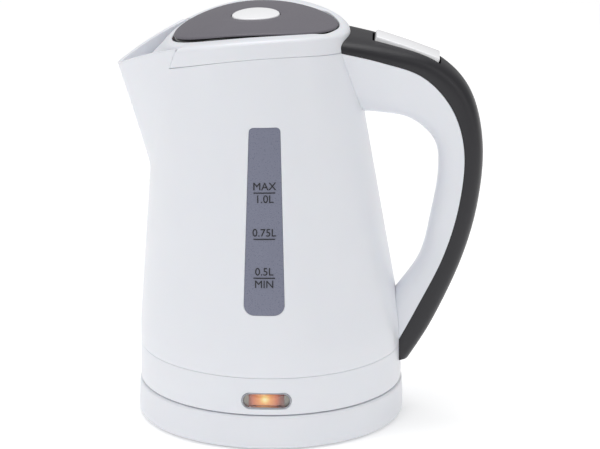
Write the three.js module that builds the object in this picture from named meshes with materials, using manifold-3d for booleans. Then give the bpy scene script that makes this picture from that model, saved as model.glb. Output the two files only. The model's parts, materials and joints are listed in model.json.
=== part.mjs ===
// A one litre cordless electric kettle on its round power base, in millimetres, +Z up.
// The origin is on the axis that the jug swivels about, in the plane that the rubber feet stand on.
// +X points to the handle, -X to the spout, and -Y to the side with the water window and the lamp.
import * as THREE from "three";
import { mergeVertices } from "three/addons/utils/BufferGeometryUtils.js";
import Module from "manifold-3d";

const wasm = await Module();
wasm.setup();

// ---------- driving dimensions ----------
const GAP = 0.3; // between two mouldings that meet
const WALL = 2.4; // of the jug, the handle and the power base
const ROUND = 40; // segments of a full turn
const INNER_ROUND = 24; // the same on pieces inside

// One arc, seen from the side, runs along the spout lip, the rim, the lid's edge and the handle's top.
const CROWN = { x: 5.2, z: 54.6, r: 165 };
const COLLAR_BAND = 9.5; // height of the white collar under that arc

const FOOT_HEIGHT = 1.2;
const BASE_RADIUS = 72.2;
const BASE_TOP = 19.1;
const SKIRT_BOTTOM = 19.7;
const SEAM = 40.4; // where the skirt meets the jug
const JUG_RADIUS = 71;
const TAPER_START = 52; // the height that the straight taper points back to
const TAPER_EASE = 4; // half the height over which the taper sets in
const TAPER = 0.1229; // radius lost for each millimetre of height
const LEAN = 0.0531; // shift of the section's centre towards the spout, likewise

const PLATE_TOP = 54.5; // the vessel's floor
const PLATE_RADIUS = 65.2;
const FLANGE = { bottom: 58.7, top: 61.2, inner: 62.6 };

const SPOUT = { start: 134, top: 196, tipX: -61.2, rake: 0.36, width: 28, power: 0.7, nose: 0.045, extra: 3 };
const LID = { x: -7.8, a: 43.9, b: 38.4, crown: 1.9, clearance: 0.8 };
const BUTTON_RADIUS = 12.8;
const HINGE = { x: 27, z: 215.4, pin: 1.25, hole: 1.45, knuckles: [12, 16], opening: 75 };
const LATCH = { width: 9, thick: 2.6, drop: 5.2 };

const WINDOW = { x: -1.2, top: 174, bottom: 74.5, topHalf: 8.15, bottomHalf: 10.9, topRound: 2.2, bottomRound: 5 };
const LAMP = { z: 27.6, length: 26.6, height: 9 };
const SWITCH = { x: 73.6, z: 205.3, length: 36, width: 16.4, tilt: -20.3 };

// ---------- solids ----------
// A closed geometry as a manifold solid, turned right side out.
function solid(geometry) {
  const source = geometry.index ? geometry.toNonIndexed() : geometry;
  const bare = new THREE.BufferGeometry().setAttribute("position", source.getAttribute("position"));
  const merged = mergeVertices(bare, 1e-4);
  const vertProperties = merged.attributes.position.array;
  const triVerts = new Uint32Array(merged.index.array);
  const made = new wasm.Manifold(new wasm.Mesh({ numProp: 3, vertProperties, triVerts }));
  if (made.volume() >= 0) return made;
  return new wasm.Manifold(new wasm.Mesh({ numProp: 3, vertProperties, triVerts: triVerts.reverse() }));
}

const unite = (...solids) => solids.reduce((all, one) => all.add(one));
const cut = (from, ...tools) => tools.reduce((left, tool) => left.subtract(tool), from);
const largest = (body) => body.decompose().sort((a, b) => b.volume() - a.volume())[0];

function box(x0, x1, y0, y1, z0, z1) {
  const g = new THREE.BoxGeometry(x1 - x0, y1 - y0, z1 - z0);
  return solid(g.translate((x0 + x1) / 2, (y0 + y1) / 2, (z0 + z1) / 2));
}

// An upright cylinder between two heights.
function disc(x, y, radius, z0, z1, segments = 24) {
  const g = new THREE.CylinderGeometry(radius, radius, z1 - z0, segments);
  return solid(g.rotateX(Math.PI / 2).translate(x, y, (z0 + z1) / 2));
}

// A cylinder along Y between y0 and y1.
function rodY(x, z, radius, y0, y1, segments = 16) {
  const g = new THREE.CylinderGeometry(radius, radius, y1 - y0, segments);
  return solid(g.translate(x, (y0 + y1) / 2, z));
}

// A cylinder along X between x0 and x1.
function rodX(y, z, radius, x0, x1, segments = 16) {
  const g = new THREE.CylinderGeometry(radius, radius, x1 - x0, segments);
  return solid(g.rotateZ(Math.PI / 2).translate((x0 + x1) / 2, y, z));
}

// A profile of [radius, height] points turned about the Z axis. It closes on itself off the axis.
function turned(profile, segments = ROUND) {
  const points = profile.map(([r, z]) => new THREE.Vector2(r, z));
  if (points[0].x > 0 || points[points.length - 1].x > 0) points.push(points[0].clone());
  return solid(new THREE.LatheGeometry(points, segments).rotateX(Math.PI / 2));
}

// A shape drawn in X and Z, extruded along Y.
function alongY(shape, y0, y1, curveSegments = 6) {
  const g = new THREE.ExtrudeGeometry(shape, { depth: y1 - y0, bevelEnabled: false, curveSegments });
  return solid(g.rotateX(Math.PI / 2).translate(0, y1, 0));
}

// A shape drawn in X and Y, extruded along Z.
function alongZ(shape, z0, z1, curveSegments = 6) {
  const g = new THREE.ExtrudeGeometry(shape, { depth: z1 - z0, bevelEnabled: false, curveSegments });
  return solid(g.translate(0, 0, z0));
}

// Sections of equal length joined into one skin. A closed run goes round to its first section, an open one is capped.
function loft(sections, closed) {
  const n = sections[0].length;
  const points = sections.flat();
  const index = [];
  const last = closed ? sections.length : sections.length - 1;
  for (let i = 0; i < last; i++) {
    const a = i * n;
    const b = ((i + 1) % sections.length) * n;
    for (let k = 0; k < n; k++) {
      const next = (k + 1) % n;
      index.push(a + k, b + k, b + next, a + k, b + next, a + next);
    }
  }
  if (!closed) {
    [0, sections.length - 1].forEach((s) => {
      const middle = [0, 1, 2].map((c) => sections[s].reduce((sum, p) => sum + p[c], 0) / n);
      points.push(middle);
      for (let k = 0; k < n; k++) {
        const [p, q] = [s * n + k, s * n + ((k + 1) % n)];
        index.push(points.length - 1, ...(s ? [q, p] : [p, q]));
      }
    });
  }
  const g = new THREE.BufferGeometry();
  g.setAttribute("position", new THREE.Float32BufferAttribute(points.flat(), 3)).setIndex(index);
  return solid(g);
}

// A round wire or tube along a curve.
function tube(curve, radius, steps, sides = 8) {
  const section = new THREE.Shape(
    Array.from({ length: sides }, (_, k) => {
      const angle = (k / sides) * 2 * Math.PI;
      return new THREE.Vector2(radius * Math.cos(angle), radius * Math.sin(angle));
    }),
  );
  return solid(new THREE.ExtrudeGeometry(section, { steps, extrudePath: curve, bevelEnabled: false }));
}

class Helix extends THREE.Curve {
  constructor(centre, radius, turns, length, along) {
    super();
    Object.assign(this, { centre, radius, turns, length, along });
  }
  getPoint(t, target = new THREE.Vector3()) {
    const angle = t * this.turns * 2 * Math.PI;
    const [u, v, w] = [this.radius * Math.cos(angle), this.radius * Math.sin(angle), t * this.length];
    return this.along === "y" ? target.set(u, w, v).add(this.centre) : target.set(u, v, w).add(this.centre);
  }
}

// ---------- the crown arc ----------
const crownZ = (x, drop = 0) => CROWN.z + Math.sqrt((CROWN.r - drop) ** 2 - (x - CROWN.x) ** 2);

// Everything inside the crown arc, less a drop, from one side of the kettle to the other.
function underCrown(drop) {
  const g = new THREE.CylinderGeometry(CROWN.r - drop, CROWN.r - drop, 160, 64);
  return solid(g.translate(CROWN.x, 0, CROWN.z));
}

// The part of a solid that lies between two depths under the crown arc.
const crownSlice = (whole, high, low) => whole.intersect(underCrown(high)).subtract(underCrown(low));

const LATCH_Z = crownZ(LID.x, LATCH.drop) - LATCH.thick / 2;

// ---------- the jug's outline ----------
function tapered(z) {
  const rise = z - (TAPER_START - TAPER_EASE);
  if (rise <= 0) return 0;
  return rise < 2 * TAPER_EASE ? (rise * rise) / (4 * TAPER_EASE) : rise - TAPER_EASE;
}
const jugRadius = (z) => JUG_RADIUS - TAPER * tapered(z);
const jugCentre = (z) => -LEAN * tapered(z);

// Half the spout's width where it leaves the round wall, and the angle of that crease seen from the jug's centre.
const spoutWidth = (z) => SPOUT.width * (Math.max(0, z - SPOUT.start) / (SPOUT.top - SPOUT.start)) ** SPOUT.power;
const creaseAngle = (z) => Math.max(0.07, Math.asin(spoutWidth(z) / jugRadius(z)));

// The wall's distance from the jug's centre, at an angle from the spout's direction.
function wallReach(angle, z, inset) {
  const radius = jugRadius(z);
  const width = spoutWidth(z);
  if (Math.abs(angle) > creaseAngle(z) || width <= 0) return radius - inset;
  const tip = jugCentre(z) - (SPOUT.tipX - SPOUT.rake * (z - SPOUT.start)) + SPOUT.extra;
  const back = Math.sqrt(radius * radius - width * width);
  const clear = tip - radius ** 2 / back;
  if (clear <= 0) return radius;
  const soft = Math.hypot(angle, SPOUT.nose);
  const flat = (tip * width) / (width * Math.cos(soft) + (tip - back) * Math.sin(soft));
  return Math.max(radius, flat) - inset;
}

// Columns of the wall, from the spout's nose right round: a share of the crease angle, then of the rest of the turn.
const SPOUT_SHARES = [0, 0.1, 0.26, 0.6, 0.97];
const REST_STEPS = 14;
const columns = [];
SPOUT_SHARES.forEach((share) => columns.push({ spout: true, share }));
for (let k = 0; k <= REST_STEPS; k++) columns.push({ spout: false, share: k / REST_STEPS });
const fullTurn = [
  ...columns.map((c) => ({ ...c, side: 1 })),
  ...columns.slice(1, -1).reverse().map((c) => ({ ...c, side: -1 })),
];

function columnAngle(column, z) {
  const crease = creaseAngle(z);
  if (column.spout) return column.side * column.share * crease;
  const start = crease + 0.015;
  return column.side * (start + column.share * (Math.PI - start));
}

function wallPoint(column, z, inset) {
  const angle = columnAngle(column, z);
  const reach = wallReach(angle, z, inset);
  return [jugCentre(z) - reach * Math.cos(angle), reach * Math.sin(angle), z];
}

// The wall point that also lies on the crown arc, less a drop.
function rimPoint(column, drop, inset) {
  let z = 200;
  for (let i = 0; i < 12; i++) z = crownZ(wallPoint(column, z, inset)[0], drop);
  return wallPoint(column, z, inset);
}

const LEVELS = [SEAM + 0.2, 44, 48, 134, 142, 156, 176];

// The jug's wall between two insets. The spout runs up to the crown arc, the rest to the collar's seam.
function jugLayer(outer, inner, flange) {
  return loft(
    fullTurn.map((column) => {
      const drop = column.spout ? 0 : COLLAR_BAND;
      const section = LEVELS.map((z) => wallPoint(column, z, outer));
      section.push(rimPoint(column, drop, outer), rimPoint(column, drop, inner));
      const inside = LEVELS.filter((z) => z > FLANGE.top || !flange).reverse();
      inside.forEach((z) => section.push(wallPoint(column, z, inner)));
      if (flange) {
        const angle = columnAngle(column, FLANGE.top);
        const ledge = (z) => [-FLANGE.inner * Math.cos(angle), FLANGE.inner * Math.sin(angle), z];
        section.push(wallPoint(column, FLANGE.top + 1, inner), ledge(FLANGE.top), ledge(FLANGE.bottom));
        section.push(wallPoint(column, FLANGE.bottom, inner), wallPoint(column, SEAM + 0.2, inner));
      }
      return section;
    }),
    true,
  );
}

// The whole space inside the round wall and the spout, grown or shrunk by an inset.
function jugCore(inset, spout = true) {
  const levels = [SKIRT_BOTTOM - 8, ...LEVELS.slice(1), 192, 204, 222];
  return loft(
    levels.map((z) =>
      fullTurn.map((column) => (spout ? wallPoint(column, z, inset) : roundPoint(column, z, inset))),
    ),
    false,
  );
}

function roundPoint(column, z, inset) {
  const angle = columnAngle(column, z);
  const reach = jugRadius(z) - inset;
  return [jugCentre(z) - reach * Math.cos(angle), reach * Math.sin(angle), z];
}

// ---------- outlines in the front view ----------
// The water window's outline, grown by a margin.
function windowShape(grow) {
  const { x, top, bottom, topHalf, bottomHalf, topRound, bottomRound } = WINDOW;
  const [t, b] = [top + grow, bottom - grow];
  const [th, bh] = [topHalf + grow, bottomHalf + grow];
  const [tr, br] = [topRound + grow / 2, bottomRound + grow / 2];
  const shape = new THREE.Shape();
  shape.moveTo(x - bh, b + br).quadraticCurveTo(x - bh, b, x - bh + br, b);
  shape.lineTo(x + bh - br, b).quadraticCurveTo(x + bh, b, x + bh, b + br);
  shape.lineTo(x + th, t - tr).quadraticCurveTo(x + th, t, x + th - tr, t);
  shape.lineTo(x - th + tr, t).quadraticCurveTo(x - th, t, x - th, t - tr);
  return shape;
}

// The lamp's stadium outline, grown by a margin.
function lampShape(grow) {
  const round = LAMP.height / 2 + grow;
  const straight = LAMP.length / 2 - LAMP.height / 2;
  const shape = new THREE.Shape();
  shape.absarc(straight, LAMP.z, round, -Math.PI / 2, Math.PI / 2);
  shape.absarc(-straight, LAMP.z, round, Math.PI / 2, 1.5 * Math.PI);
  return shape;
}

const frontPrism = (shape) => alongY(shape, -80, -30, 5);

// ---------- materials ----------
const plastic = (color, roughness) => new THREE.MeshStandardMaterial({ color, roughness, metalness: 0 });
const metal = (color, roughness) => new THREE.MeshStandardMaterial({ color, roughness, metalness: 1 });
const white = plastic(0xf1f2f4, 0.32);
const darkGrey = plastic(0x5c5b60, 0.45);
const gripBlack = plastic(0x2b2a2f, 0.5);
const smoke = new THREE.MeshStandardMaterial({ color: 0x7c7f8e, roughness: 0.2, transparent: true, opacity: 0.85 });
const nylon = plastic(0x26262a, 0.55);
const paleNylon = plastic(0xd9d6cc, 0.55);
const silicone = plastic(0xc9c4bd, 0.7);
const rubber = plastic(0x3a3a3c, 0.85);
const clearPlastic = new THREE.MeshStandardMaterial({ color: 0xe6e9ec, roughness: 0.1, transparent: true, opacity: 0.4 });
const orange = new THREE.MeshStandardMaterial({ color: 0xd9783c, roughness: 0.25, emissive: 0xff8a2a });
const chrome = metal(0xc4c6ca, 0.15);
const stainless = metal(0xb9bbbe, 0.28);
const aluminium = metal(0xa9abad, 0.45);
const brass = metal(0xc79a4b, 0.3);
const steel = metal(0x9da0a4, 0.35);

const kettle = new THREE.Group();
kettle.name = "electric_kettle";

function group(name) {
  const made = new THREE.Group();
  made.name = name;
  kettle.add(made);
  return made;
}

function add(parent, name, body, material) {
  const mesh = body.getMesh();
  const g = new THREE.BufferGeometry();
  g.setAttribute("position", new THREE.BufferAttribute(mesh.vertProperties, 3));
  g.setIndex(new THREE.BufferAttribute(mesh.triVerts, 1));
  g.computeVertexNormals();
  const made = new THREE.Mesh(g, material);
  made.name = name;
  parent.add(made);
}

// The same small solid set round the axis at the given angles in degrees.
const around = (angles, radius, make) =>
  angles.map((degrees) => {
    const angle = (degrees * Math.PI) / 180;
    return make(radius * Math.cos(angle), radius * Math.sin(angle));
  });

// ---------- power base ----------
const BASE_SCREWS = { angles: [30, 150, 270], radius: 44 };
const FEET = { angles: [45, 135, 225, 315], radius: 56, size: 6.5 };
const HUB = { radius: 21.6, bore: 18, top: 25.5 };
const SOCKET = { radius: 17.4, top: 25, slotIn: 7.2, slotOut: 11, bore: 3.6, floor: 11 };
const GLAND = { z: 9.4, hole: 3.8, bore: 2.6, flange: 1.2 };

function baseCover() {
  const shell = turned([
    [BASE_RADIUS - WALL, FOOT_HEIGHT], [BASE_RADIUS, FOOT_HEIGHT], [BASE_RADIUS, 4],
    [BASE_RADIUS - 0.5, BASE_TOP - 0.9], [BASE_RADIUS - 1.3, BASE_TOP],
    [66.6, BASE_TOP], [66, 17.4], [HUB.radius + 0.9, 17.4], [HUB.radius, HUB.top - 0.9],
    [HUB.radius - 0.9, HUB.top], [HUB.bore, HUB.top], [HUB.bore, 12], [HUB.bore + 1.8, 12],
    [HUB.bore + 1.8, 15.2], [64.6, 15.2], [65.4, 16.4], [68, 16.4], [BASE_RADIUS - WALL, 14],
  ]);
  const posts = around(BASE_SCREWS.angles, BASE_SCREWS.radius, (x, y) =>
    cut(disc(x, y, 4, 4.6, 16, 12), disc(x, y, 1.7, 4, 14, 8)),
  );
  return cut(unite(shell, ...posts), rodY(0, GLAND.z, GLAND.hole + GAP, 60, 80));
}

function basePlate() {
  const plate = turned([[0, FOOT_HEIGHT], [BASE_RADIUS - WALL - GAP, FOOT_HEIGHT],
    [BASE_RADIUS - WALL - GAP, 4], [0, 4]]);
  const pockets = [
    ...around(FEET.angles, FEET.radius, (x, y) => disc(x, y, FEET.size + GAP, 0, 2.6)),
    ...around(BASE_SCREWS.angles, BASE_SCREWS.radius, (x, y) => disc(x, y, 3.7, 0, 3, 16)),
    ...around(BASE_SCREWS.angles, BASE_SCREWS.radius, (x, y) => disc(x, y, 1.9, 2, 5, 10)),
  ];
  return cut(plate, ...pockets);
}

function screw(x, y, headZ, tipZ, head = 3, shank = 1.4) {
  return unite(disc(x, y, head, headZ, headZ + 1.3, 16), disc(x, y, shank, headZ + 1.3, tipZ, 8));
}

function buildPowerBase() {
  const base = group("power_base");
  add(base, "base_cover", baseCover(), white);
  add(base, "base_plate", basePlate(), white);
  around(FEET.angles, FEET.radius, (x, y) => disc(x, y, FEET.size, 0, 2.3)).forEach((foot, k) =>
    add(base, `base_foot_${k + 1}`, foot, rubber),
  );
  around(BASE_SCREWS.angles, BASE_SCREWS.radius, (x, y) => screw(x, y, 1.4, 12.5)).forEach((one, k) =>
    add(base, `base_screw_${k + 1}`, one, steel),
  );
  const { radius, top, slotIn, slotOut, bore, floor } = SOCKET;
  const socket = turned([
    [bore, floor], [bore, top], [slotIn, top], [slotIn, floor], [slotOut, floor], [slotOut, top],
    [radius, top], [radius, 11.4], [radius + 1.8, 11.4], [radius + 1.8, 8], [0, 8], [0, floor],
  ], INNER_ROUND);
  add(base, "base_socket", socket, nylon);
  const sleeve = (inner, segments) =>
    turned([[inner, floor + GAP], [inner + 0.6, floor + GAP], [inner + 0.6, 21], [inner, 21]], segments);
  add(base, "socket_centre_contact", sleeve(2.7, 12), brass);
  add(base, "socket_ring_contact", sleeve(10.1, INNER_ROUND), brass);
  const tabs = unite(box(-3.2, 3.2, -12, 12, 6.9, 7.7), box(-3.2, 3.2, 11, 12, 4.6, 7));
  add(base, "socket_terminals", tabs, brass);
  const gland = cut(
    unite(rodY(0, GLAND.z, GLAND.hole, 66.4, 72.4), rodY(0, GLAND.z, GLAND.hole + GLAND.flange, 72.4, 73.2),
      rodY(0, GLAND.z, GLAND.hole + GLAND.flange, 64.4, 66.4)),
    rodY(0, GLAND.z, GLAND.bore, 60, 76),
  );
  add(base, "cord_gland", gland, nylon);
}

// ---------- the round plug under the jug ----------
const PLUG = { radius: 19.6, bottom: 26.6, top: 33.6, neck: 14, neckTop: 37 };

function buildPlug() {
  const plug = group("jug_plug");
  const housing = turned([
    [3, PLUG.bottom], [7.9, PLUG.bottom], [7.9, 30], [10, 30], [10, PLUG.bottom], [PLUG.radius - 0.8, PLUG.bottom],
    [PLUG.radius, PLUG.bottom + 0.8], [PLUG.radius, PLUG.top], [PLUG.neck, PLUG.top], [PLUG.neck, PLUG.neckTop],
    [3, PLUG.neckTop],
  ], INNER_ROUND);
  add(plug, "plug_housing", housing, nylon);
  const pin = turned([[0, 13], [1.4, 13], [2.2, 14.4], [2.2, 36.4], [0, 36.4]], 12);
  add(plug, "plug_pin", pin, brass);
  add(plug, "plug_ring", turned([[8.2, 13.6], [9.6, 13.6], [9.6, 29.7], [8.2, 29.7]], INNER_ROUND), brass);
}

// ---------- the jug's foot: skirt, lamp, heater and control ----------
const POSTS = { angles: [60, 180, 300], radius: 60 };
const WELL = { inner: 24, outer: 26, top: 32.4, lip: 20.6 };

function skirtCover() {
  const cup = turned([
    [JUG_RADIUS - WALL, SEAM - 0.2], [JUG_RADIUS - WALL, 22.4], [WELL.outer, 22.4], [WELL.outer, WELL.top],
    [WELL.lip, WELL.top], [WELL.lip, WELL.top - 1.8], [WELL.inner, WELL.top - 1.8], [WELL.inner, 20.4],
    [JUG_RADIUS - WALL - 2, 20.4], [JUG_RADIUS - WALL - 1.4, SKIRT_BOTTOM], [JUG_RADIUS - 0.6, SKIRT_BOTTOM],
    [JUG_RADIUS, SKIRT_BOTTOM + 0.6], [JUG_RADIUS, SEAM - 0.2],
  ]);
  const posts = around(POSTS.angles, POSTS.radius, (x, y) => disc(x, y, 4.6, 20.4, 32, 14));
  const holes = around(POSTS.angles, POSTS.radius, (x, y) =>
    unite(disc(x, y, 3.4, 19, 27, 16), disc(x, y, 1.7, 26, 34, 8)),
  );
  return cut(unite(cup, ...posts), ...holes, frontPrism(lampShape(GAP)));
}

// A layer of the skirt's wall between two insets.
const skirtLayer = (outer, inner) =>
  turned([[JUG_RADIUS - inner, SKIRT_BOTTOM], [JUG_RADIUS - outer, SKIRT_BOTTOM],
    [JUG_RADIUS - outer, SEAM], [JUG_RADIUS - inner, SEAM]]);

function buildLamp(jug) {
  const bezel = skirtLayer(0.1, 3.4).intersect(frontPrism(lampShape(0)));
  add(jug, "lamp_bezel", cut(bezel, frontPrism(lampShape(-0.9))), chrome);
  add(jug, "lamp_lens", skirtLayer(0.5, 2.2).intersect(frontPrism(lampShape(-0.9 - GAP))), clearPlastic);
  const half = 9.6;
  const block = skirtLayer(2.5, 6).intersect(box(-half, half, -80, -50, LAMP.z - 3.1, LAMP.z + 3.1));
  add(jug, "lamp_diffuser", cut(block, rodX(-66.2, LAMP.z, 1.9, -7.4, 4.4, 12)), orange);
  add(jug, "neon_bulb", rodX(-66.2, LAMP.z, 1.5, -7, 4, 12), orange);
  add(jug, "lamp_holder", box(-half, half, -63.8, -61.6, LAMP.z - 3.8, LAMP.z + 3.8), paleNylon);
}

const ELEMENT = { ring: 40, tube: 3.5, z: 47.4, opening: 0.42 };

function heatingElement() {
  const start = Math.PI / 2 + ELEMENT.opening;
  const points = [];
  const steps = 20;
  for (let k = 0; k <= steps; k++) {
    const angle = start + (k / steps) * (2 * Math.PI - 2 * ELEMENT.opening);
    points.push(new THREE.Vector3(ELEMENT.ring * Math.cos(angle), ELEMENT.ring * Math.sin(angle), ELEMENT.z));
  }
  const dip = (p) => [
    new THREE.Vector3(p.x * 0.86, p.y * 0.97, ELEMENT.z - 4),
    new THREE.Vector3(p.x * 0.84, p.y * 0.96, ELEMENT.z - 12),
  ];
  const route = [...dip(points[0]).reverse(), ...points, ...dip(points[steps])];
  return tube(new THREE.CatmullRomCurve3(route), ELEMENT.tube, 28, 6);
}

function buildHeater(jug) {
  const plate = turned([[0, PLATE_TOP - 1], [57.4, PLATE_TOP - 1], [60.2, 55.5], [PLATE_RADIUS, 55.5],
    [PLATE_RADIUS, 56.5], [59.6, 56.5], [57, PLATE_TOP], [0, PLATE_TOP]]);
  add(jug, "heating_plate", plate, stainless);
  add(jug, "plate_seal", turned([[62.8, 56.8], [PLATE_RADIUS, 56.8], [PLATE_RADIUS, 58.4], [62.8, 58.4]]), silicone);
  const ring = turned([[61.2, 52.9], [PLATE_RADIUS, 52.9], [PLATE_RADIUS, 55.2], [61.2, 55.2]]);
  const posts = around(POSTS.angles, POSTS.radius, (x, y) =>
    cut(disc(x, y, 3.6, 32.3, 54, 12), disc(x, y, 1.7, 31, 44, 8)),
  );
  const clear = turned([[0, 53.1], [60.6, 53.1], [61, 57], [0, 57]]);
  add(jug, "plate_retainer", cut(unite(ring, ...posts), clear), paleNylon);
  add(jug, "heat_spreader", turned([[0, 51.4], [48, 51.4], [48, 53.2], [0, 53.2]], INNER_ROUND), aluminium);
  add(jug, "heating_element", heatingElement(), aluminium);
}

function controlShape(grow) {
  const [w, d, r] = [25 + grow, 18 + grow, 5];
  const shape = new THREE.Shape();
  shape.absarc(w - r, d - r, r, 0, Math.PI / 2);
  shape.absarc(-w + r, d - r, r, Math.PI / 2, Math.PI);
  shape.absarc(-w + r, -d + r, r, Math.PI, 1.5 * Math.PI);
  shape.absarc(w - r, -d + r, r, 1.5 * Math.PI, 2 * Math.PI);
  return shape;
}

function buildControl(jug) {
  const pads = [-13, 13].map((x) => disc(x, 0, 10.6, 45, 50.2));
  const body = unite(alongZ(controlShape(0), 37.3, 46, 3), ...pads);
  add(jug, "control_body", body, nylon);
  [-13, 13].forEach((x, k) => add(jug, `bimetal_disc_${k + 1}`, disc(x, 0, 9.6, 50.5, 51.1), steel));
  const blades = [-1, 1].map((side) => unite(box(side * 8 - 3, side * 8 + 3, 18.3, 19, 38, 45),
    box(side * 8 - 3, side * 8 + 3, 18.3, 25, 38, 38.8)));
  blades.forEach((blade, k) => add(jug, `element_terminal_${k + 1}`, blade, brass));
}

// ---------- the jug ----------
const STEAM = { z: 190, hole: 3 };
const WIRES = { z: 47.5, hole: 3.2 };

function jugShell() {
  const wall = jugLayer(0, WALL, true);
  const steamHole = rodX(0, STEAM.z, STEAM.hole + 0.6, 38, 60);
  const wireHole = rodX(0, WIRES.z, WIRES.hole, 60, 80, 12);
  return cut(wall, frontPrism(windowShape(GAP)), steamHole, wireHole);
}

function waterWindow() {
  const pane = jugLayer(0.25, WALL + 2, false).intersect(frontPrism(windowShape(0)));
  const flange = jugLayer(WALL + 0.6, WALL + 2, false).intersect(frontPrism(windowShape(3.6)));
  return unite(pane, flange);
}

// A point on an ellipse round the lid's centre, at a jug angle, grown by a margin.
function lidPoint(angle, grow) {
  return [LID.x - (LID.a + grow) * Math.cos(angle), (LID.b + grow) * Math.sin(angle)];
}

function onCrown([x, y], drop) {
  return [x, y, crownZ(x, drop)];
}

// The white collar: a hollow rim between the lid's opening and the jug's round wall, with a lip inside the jug.
function collar() {
  const opening = LID.clearance;
  const seamDrop = COLLAR_BAND - GAP;
  const sections = fullTurn.map((column) => {
    const angle = columnAngle(column, 200);
    const over = column.spout ? 4.4 : 0; // it crosses the spout inside the spout's own wall
    const wall = (drop, inset) => {
      let point;
      for (let i = 0, z = 200; i < 12; i++) {
        const reach = jugRadius(z) - inset - over;
        point = [jugCentre(z) - reach * Math.cos(angle), reach * Math.sin(angle), z];
        z = crownZ(point[0], drop);
      }
      return point;
    };
    return [
      wall(seamDrop, 0), wall(3.4, 0), wall(1.1, 0.8), wall(0.2, 2.6),
      onCrown(lidPoint(angle, opening + 1), 0.4), onCrown(lidPoint(angle, opening), 1.2),
      onCrown(lidPoint(angle, opening), 14.4), onCrown(lidPoint(angle, opening + 1.9), 14.4),
      onCrown(lidPoint(angle, opening + 1.9), seamDrop),
    ];
  });
  const behind = box(-47, 80, -80, 80, 150, 230);
  const hollow = cut(jugCore(WALL + 0.9, false).intersect(underCrown(2.8)), ellipsePrism(opening + 1.9, 150, 230));
  const lip = crownSlice(cut(jugCore(WALL + 0.6, false), jugCore(WALL + 2, false)), 4, seamDrop + 5);
  const relief = ellipsePrism(opening, 150, 230).translate([-0.7, 0, 0]); // the lid swings forward as it rises
  const half = halfWidthAt(HINGE.x);
  const bosses = [-1, 1].map((side) => spanY(HINGE.x, HINGE.z, 3, side * (half - 1), side * (half + 5)));
  const bores = [-1, 1].map((side) => spanY(HINGE.x, HINGE.z, HINGE.hole, side * (half - 4), side * (half + 3.6)));
  const slot = box(LID.x - 5.4, LID.x + 5.4, -LID.b - 2, LID.b + 2, LATCH_Z - 1.8, LATCH_Z + 1.8);
  const rim = cut(loft(sections, true), hollow.intersect(behind), relief, slot);
  const shell = jugLayer(-0.5, WALL + 0.7, false).intersect(box(-90, -42, -60, 60, 185, 230));
  const spoutRoom = [shell, shell.translate([0.7, 0, 0]), shell.translate([0.7, 0, 0.8])];
  const fitted = cut(unite(rim, lip.intersect(behind)), ...spoutRoom);
  const shaped = bosses.map((boss) => cut(boss, ellipsePrism(opening, 150, 230)));
  return largest(cut(unite(fitted, ...shaped), ...bores, ...lidOnItsWay()));
}

// The lid's outline at stages of its opening, a little grown: the room that the collar leaves for it.
function lidOnItsWay() {
  const margin = 0.35;
  const blank = crownSlice(ellipsePrism(margin, 190, 225), -LID.crown / 2, 5).intersect(box(0, 60, -60, 60, 190, 230));
  const stages = 8;
  return Array.from({ length: stages }, (_, k) => {
    const angle = (HINGE.opening * (k + 1)) / stages;
    return blank.translate([-HINGE.x, 0, -HINGE.z]).rotate([0, angle, 0]).translate([HINGE.x, 0, HINGE.z]);
  });
}

// A cylinder along Y between two places given in either order.
const spanY = (x, z, radius, a, b) => rodY(x, z, radius, Math.min(a, b), Math.max(a, b));

// Half the width of the lid's opening at a place along X.
const halfWidthAt = (x) => (LID.b + LID.clearance) * Math.sqrt(1 - ((x - LID.x) / (LID.a + LID.clearance)) ** 2);

function spoutFilter() {
  const frame = box(-55.8, -54, -17, 17, 165, 191.8);
  const holes = [];
  for (let row = 0; row < 4; row++) {
    for (let k = -2; k <= 2; k++) {
      holes.push(box(-57, -53, k * 6.4 - 2.6, k * 6.4 + 2.6, 167 + row * 6.2, 172 + row * 6.2));
    }
  }
  return cut(frame, ...holes).intersect(jugCore(WALL + GAP));
}

// ---------- the handle ----------
// Knots down the handle, seen from the side: inner edge, joint of the two colours, outer edge, and the half-widths
// at the joint and at the inner edge. The handle runs through them on a smooth curve.
const KNOTS = [
  { i: [36, 170.3], b: [31, 208], o: [32, 214.4], wide: 24.5, thin: 15 },
  { i: [59.5, 168.8], b: [58.8, 201.8], o: [61, 208.6], wide: 20.2, thin: 13 },
  { i: [76, 165.1], b: [82.4, 191.8], o: [89.2, 199], wide: 15.6, thin: 12 },
  { i: [88.2, 153.2], b: [97.5, 173.2], o: [107, 181], wide: 13, thin: 11.2 },
  { i: [90.2, 135.9], b: [104.2, 149.4], o: [114.2, 152.4], wide: 12.4, thin: 11 },
  { i: [86.6, 112.8], b: [101.9, 120.4], o: [112, 119.4], wide: 12.2, thin: 11 },
  { i: [80.6, 88.6], b: [93.6, 91], o: [103.4, 87.2], wide: 12.2, thin: 11 },
  { i: [67.9, 69.5], b: [79.3, 61.4], o: [87.6, 51.8], wide: 12.4, thin: 11.6 },
  { i: [52, 48.4], b: [65, 34.6], o: [72.4, 27.2], wide: 13, thin: 12.6 },
];
const STATION_STEPS = 16;

// The handle's stations, evenly spaced between the knots.
function handleStations() {
  const through = (pick) => new THREE.CatmullRomCurve3(KNOTS.map((knot) => new THREE.Vector3(...pick(knot), 0)));
  const curves = { i: through((k) => k.i), b: through((k) => k.b), o: through((k) => k.o) };
  const widths = through((k) => [k.wide, k.thin]);
  return Array.from({ length: STATION_STEPS + 1 }, (_, step) => {
    const t = step / STATION_STEPS;
    const at = (curve) => curve.getPoint(t).toArray().slice(0, 2);
    const [wide, thin] = at(widths);
    return { i: at(curves.i), b: at(curves.b), o: at(curves.o), wide, thin };
  });
}
const STATIONS = handleStations();

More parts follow.
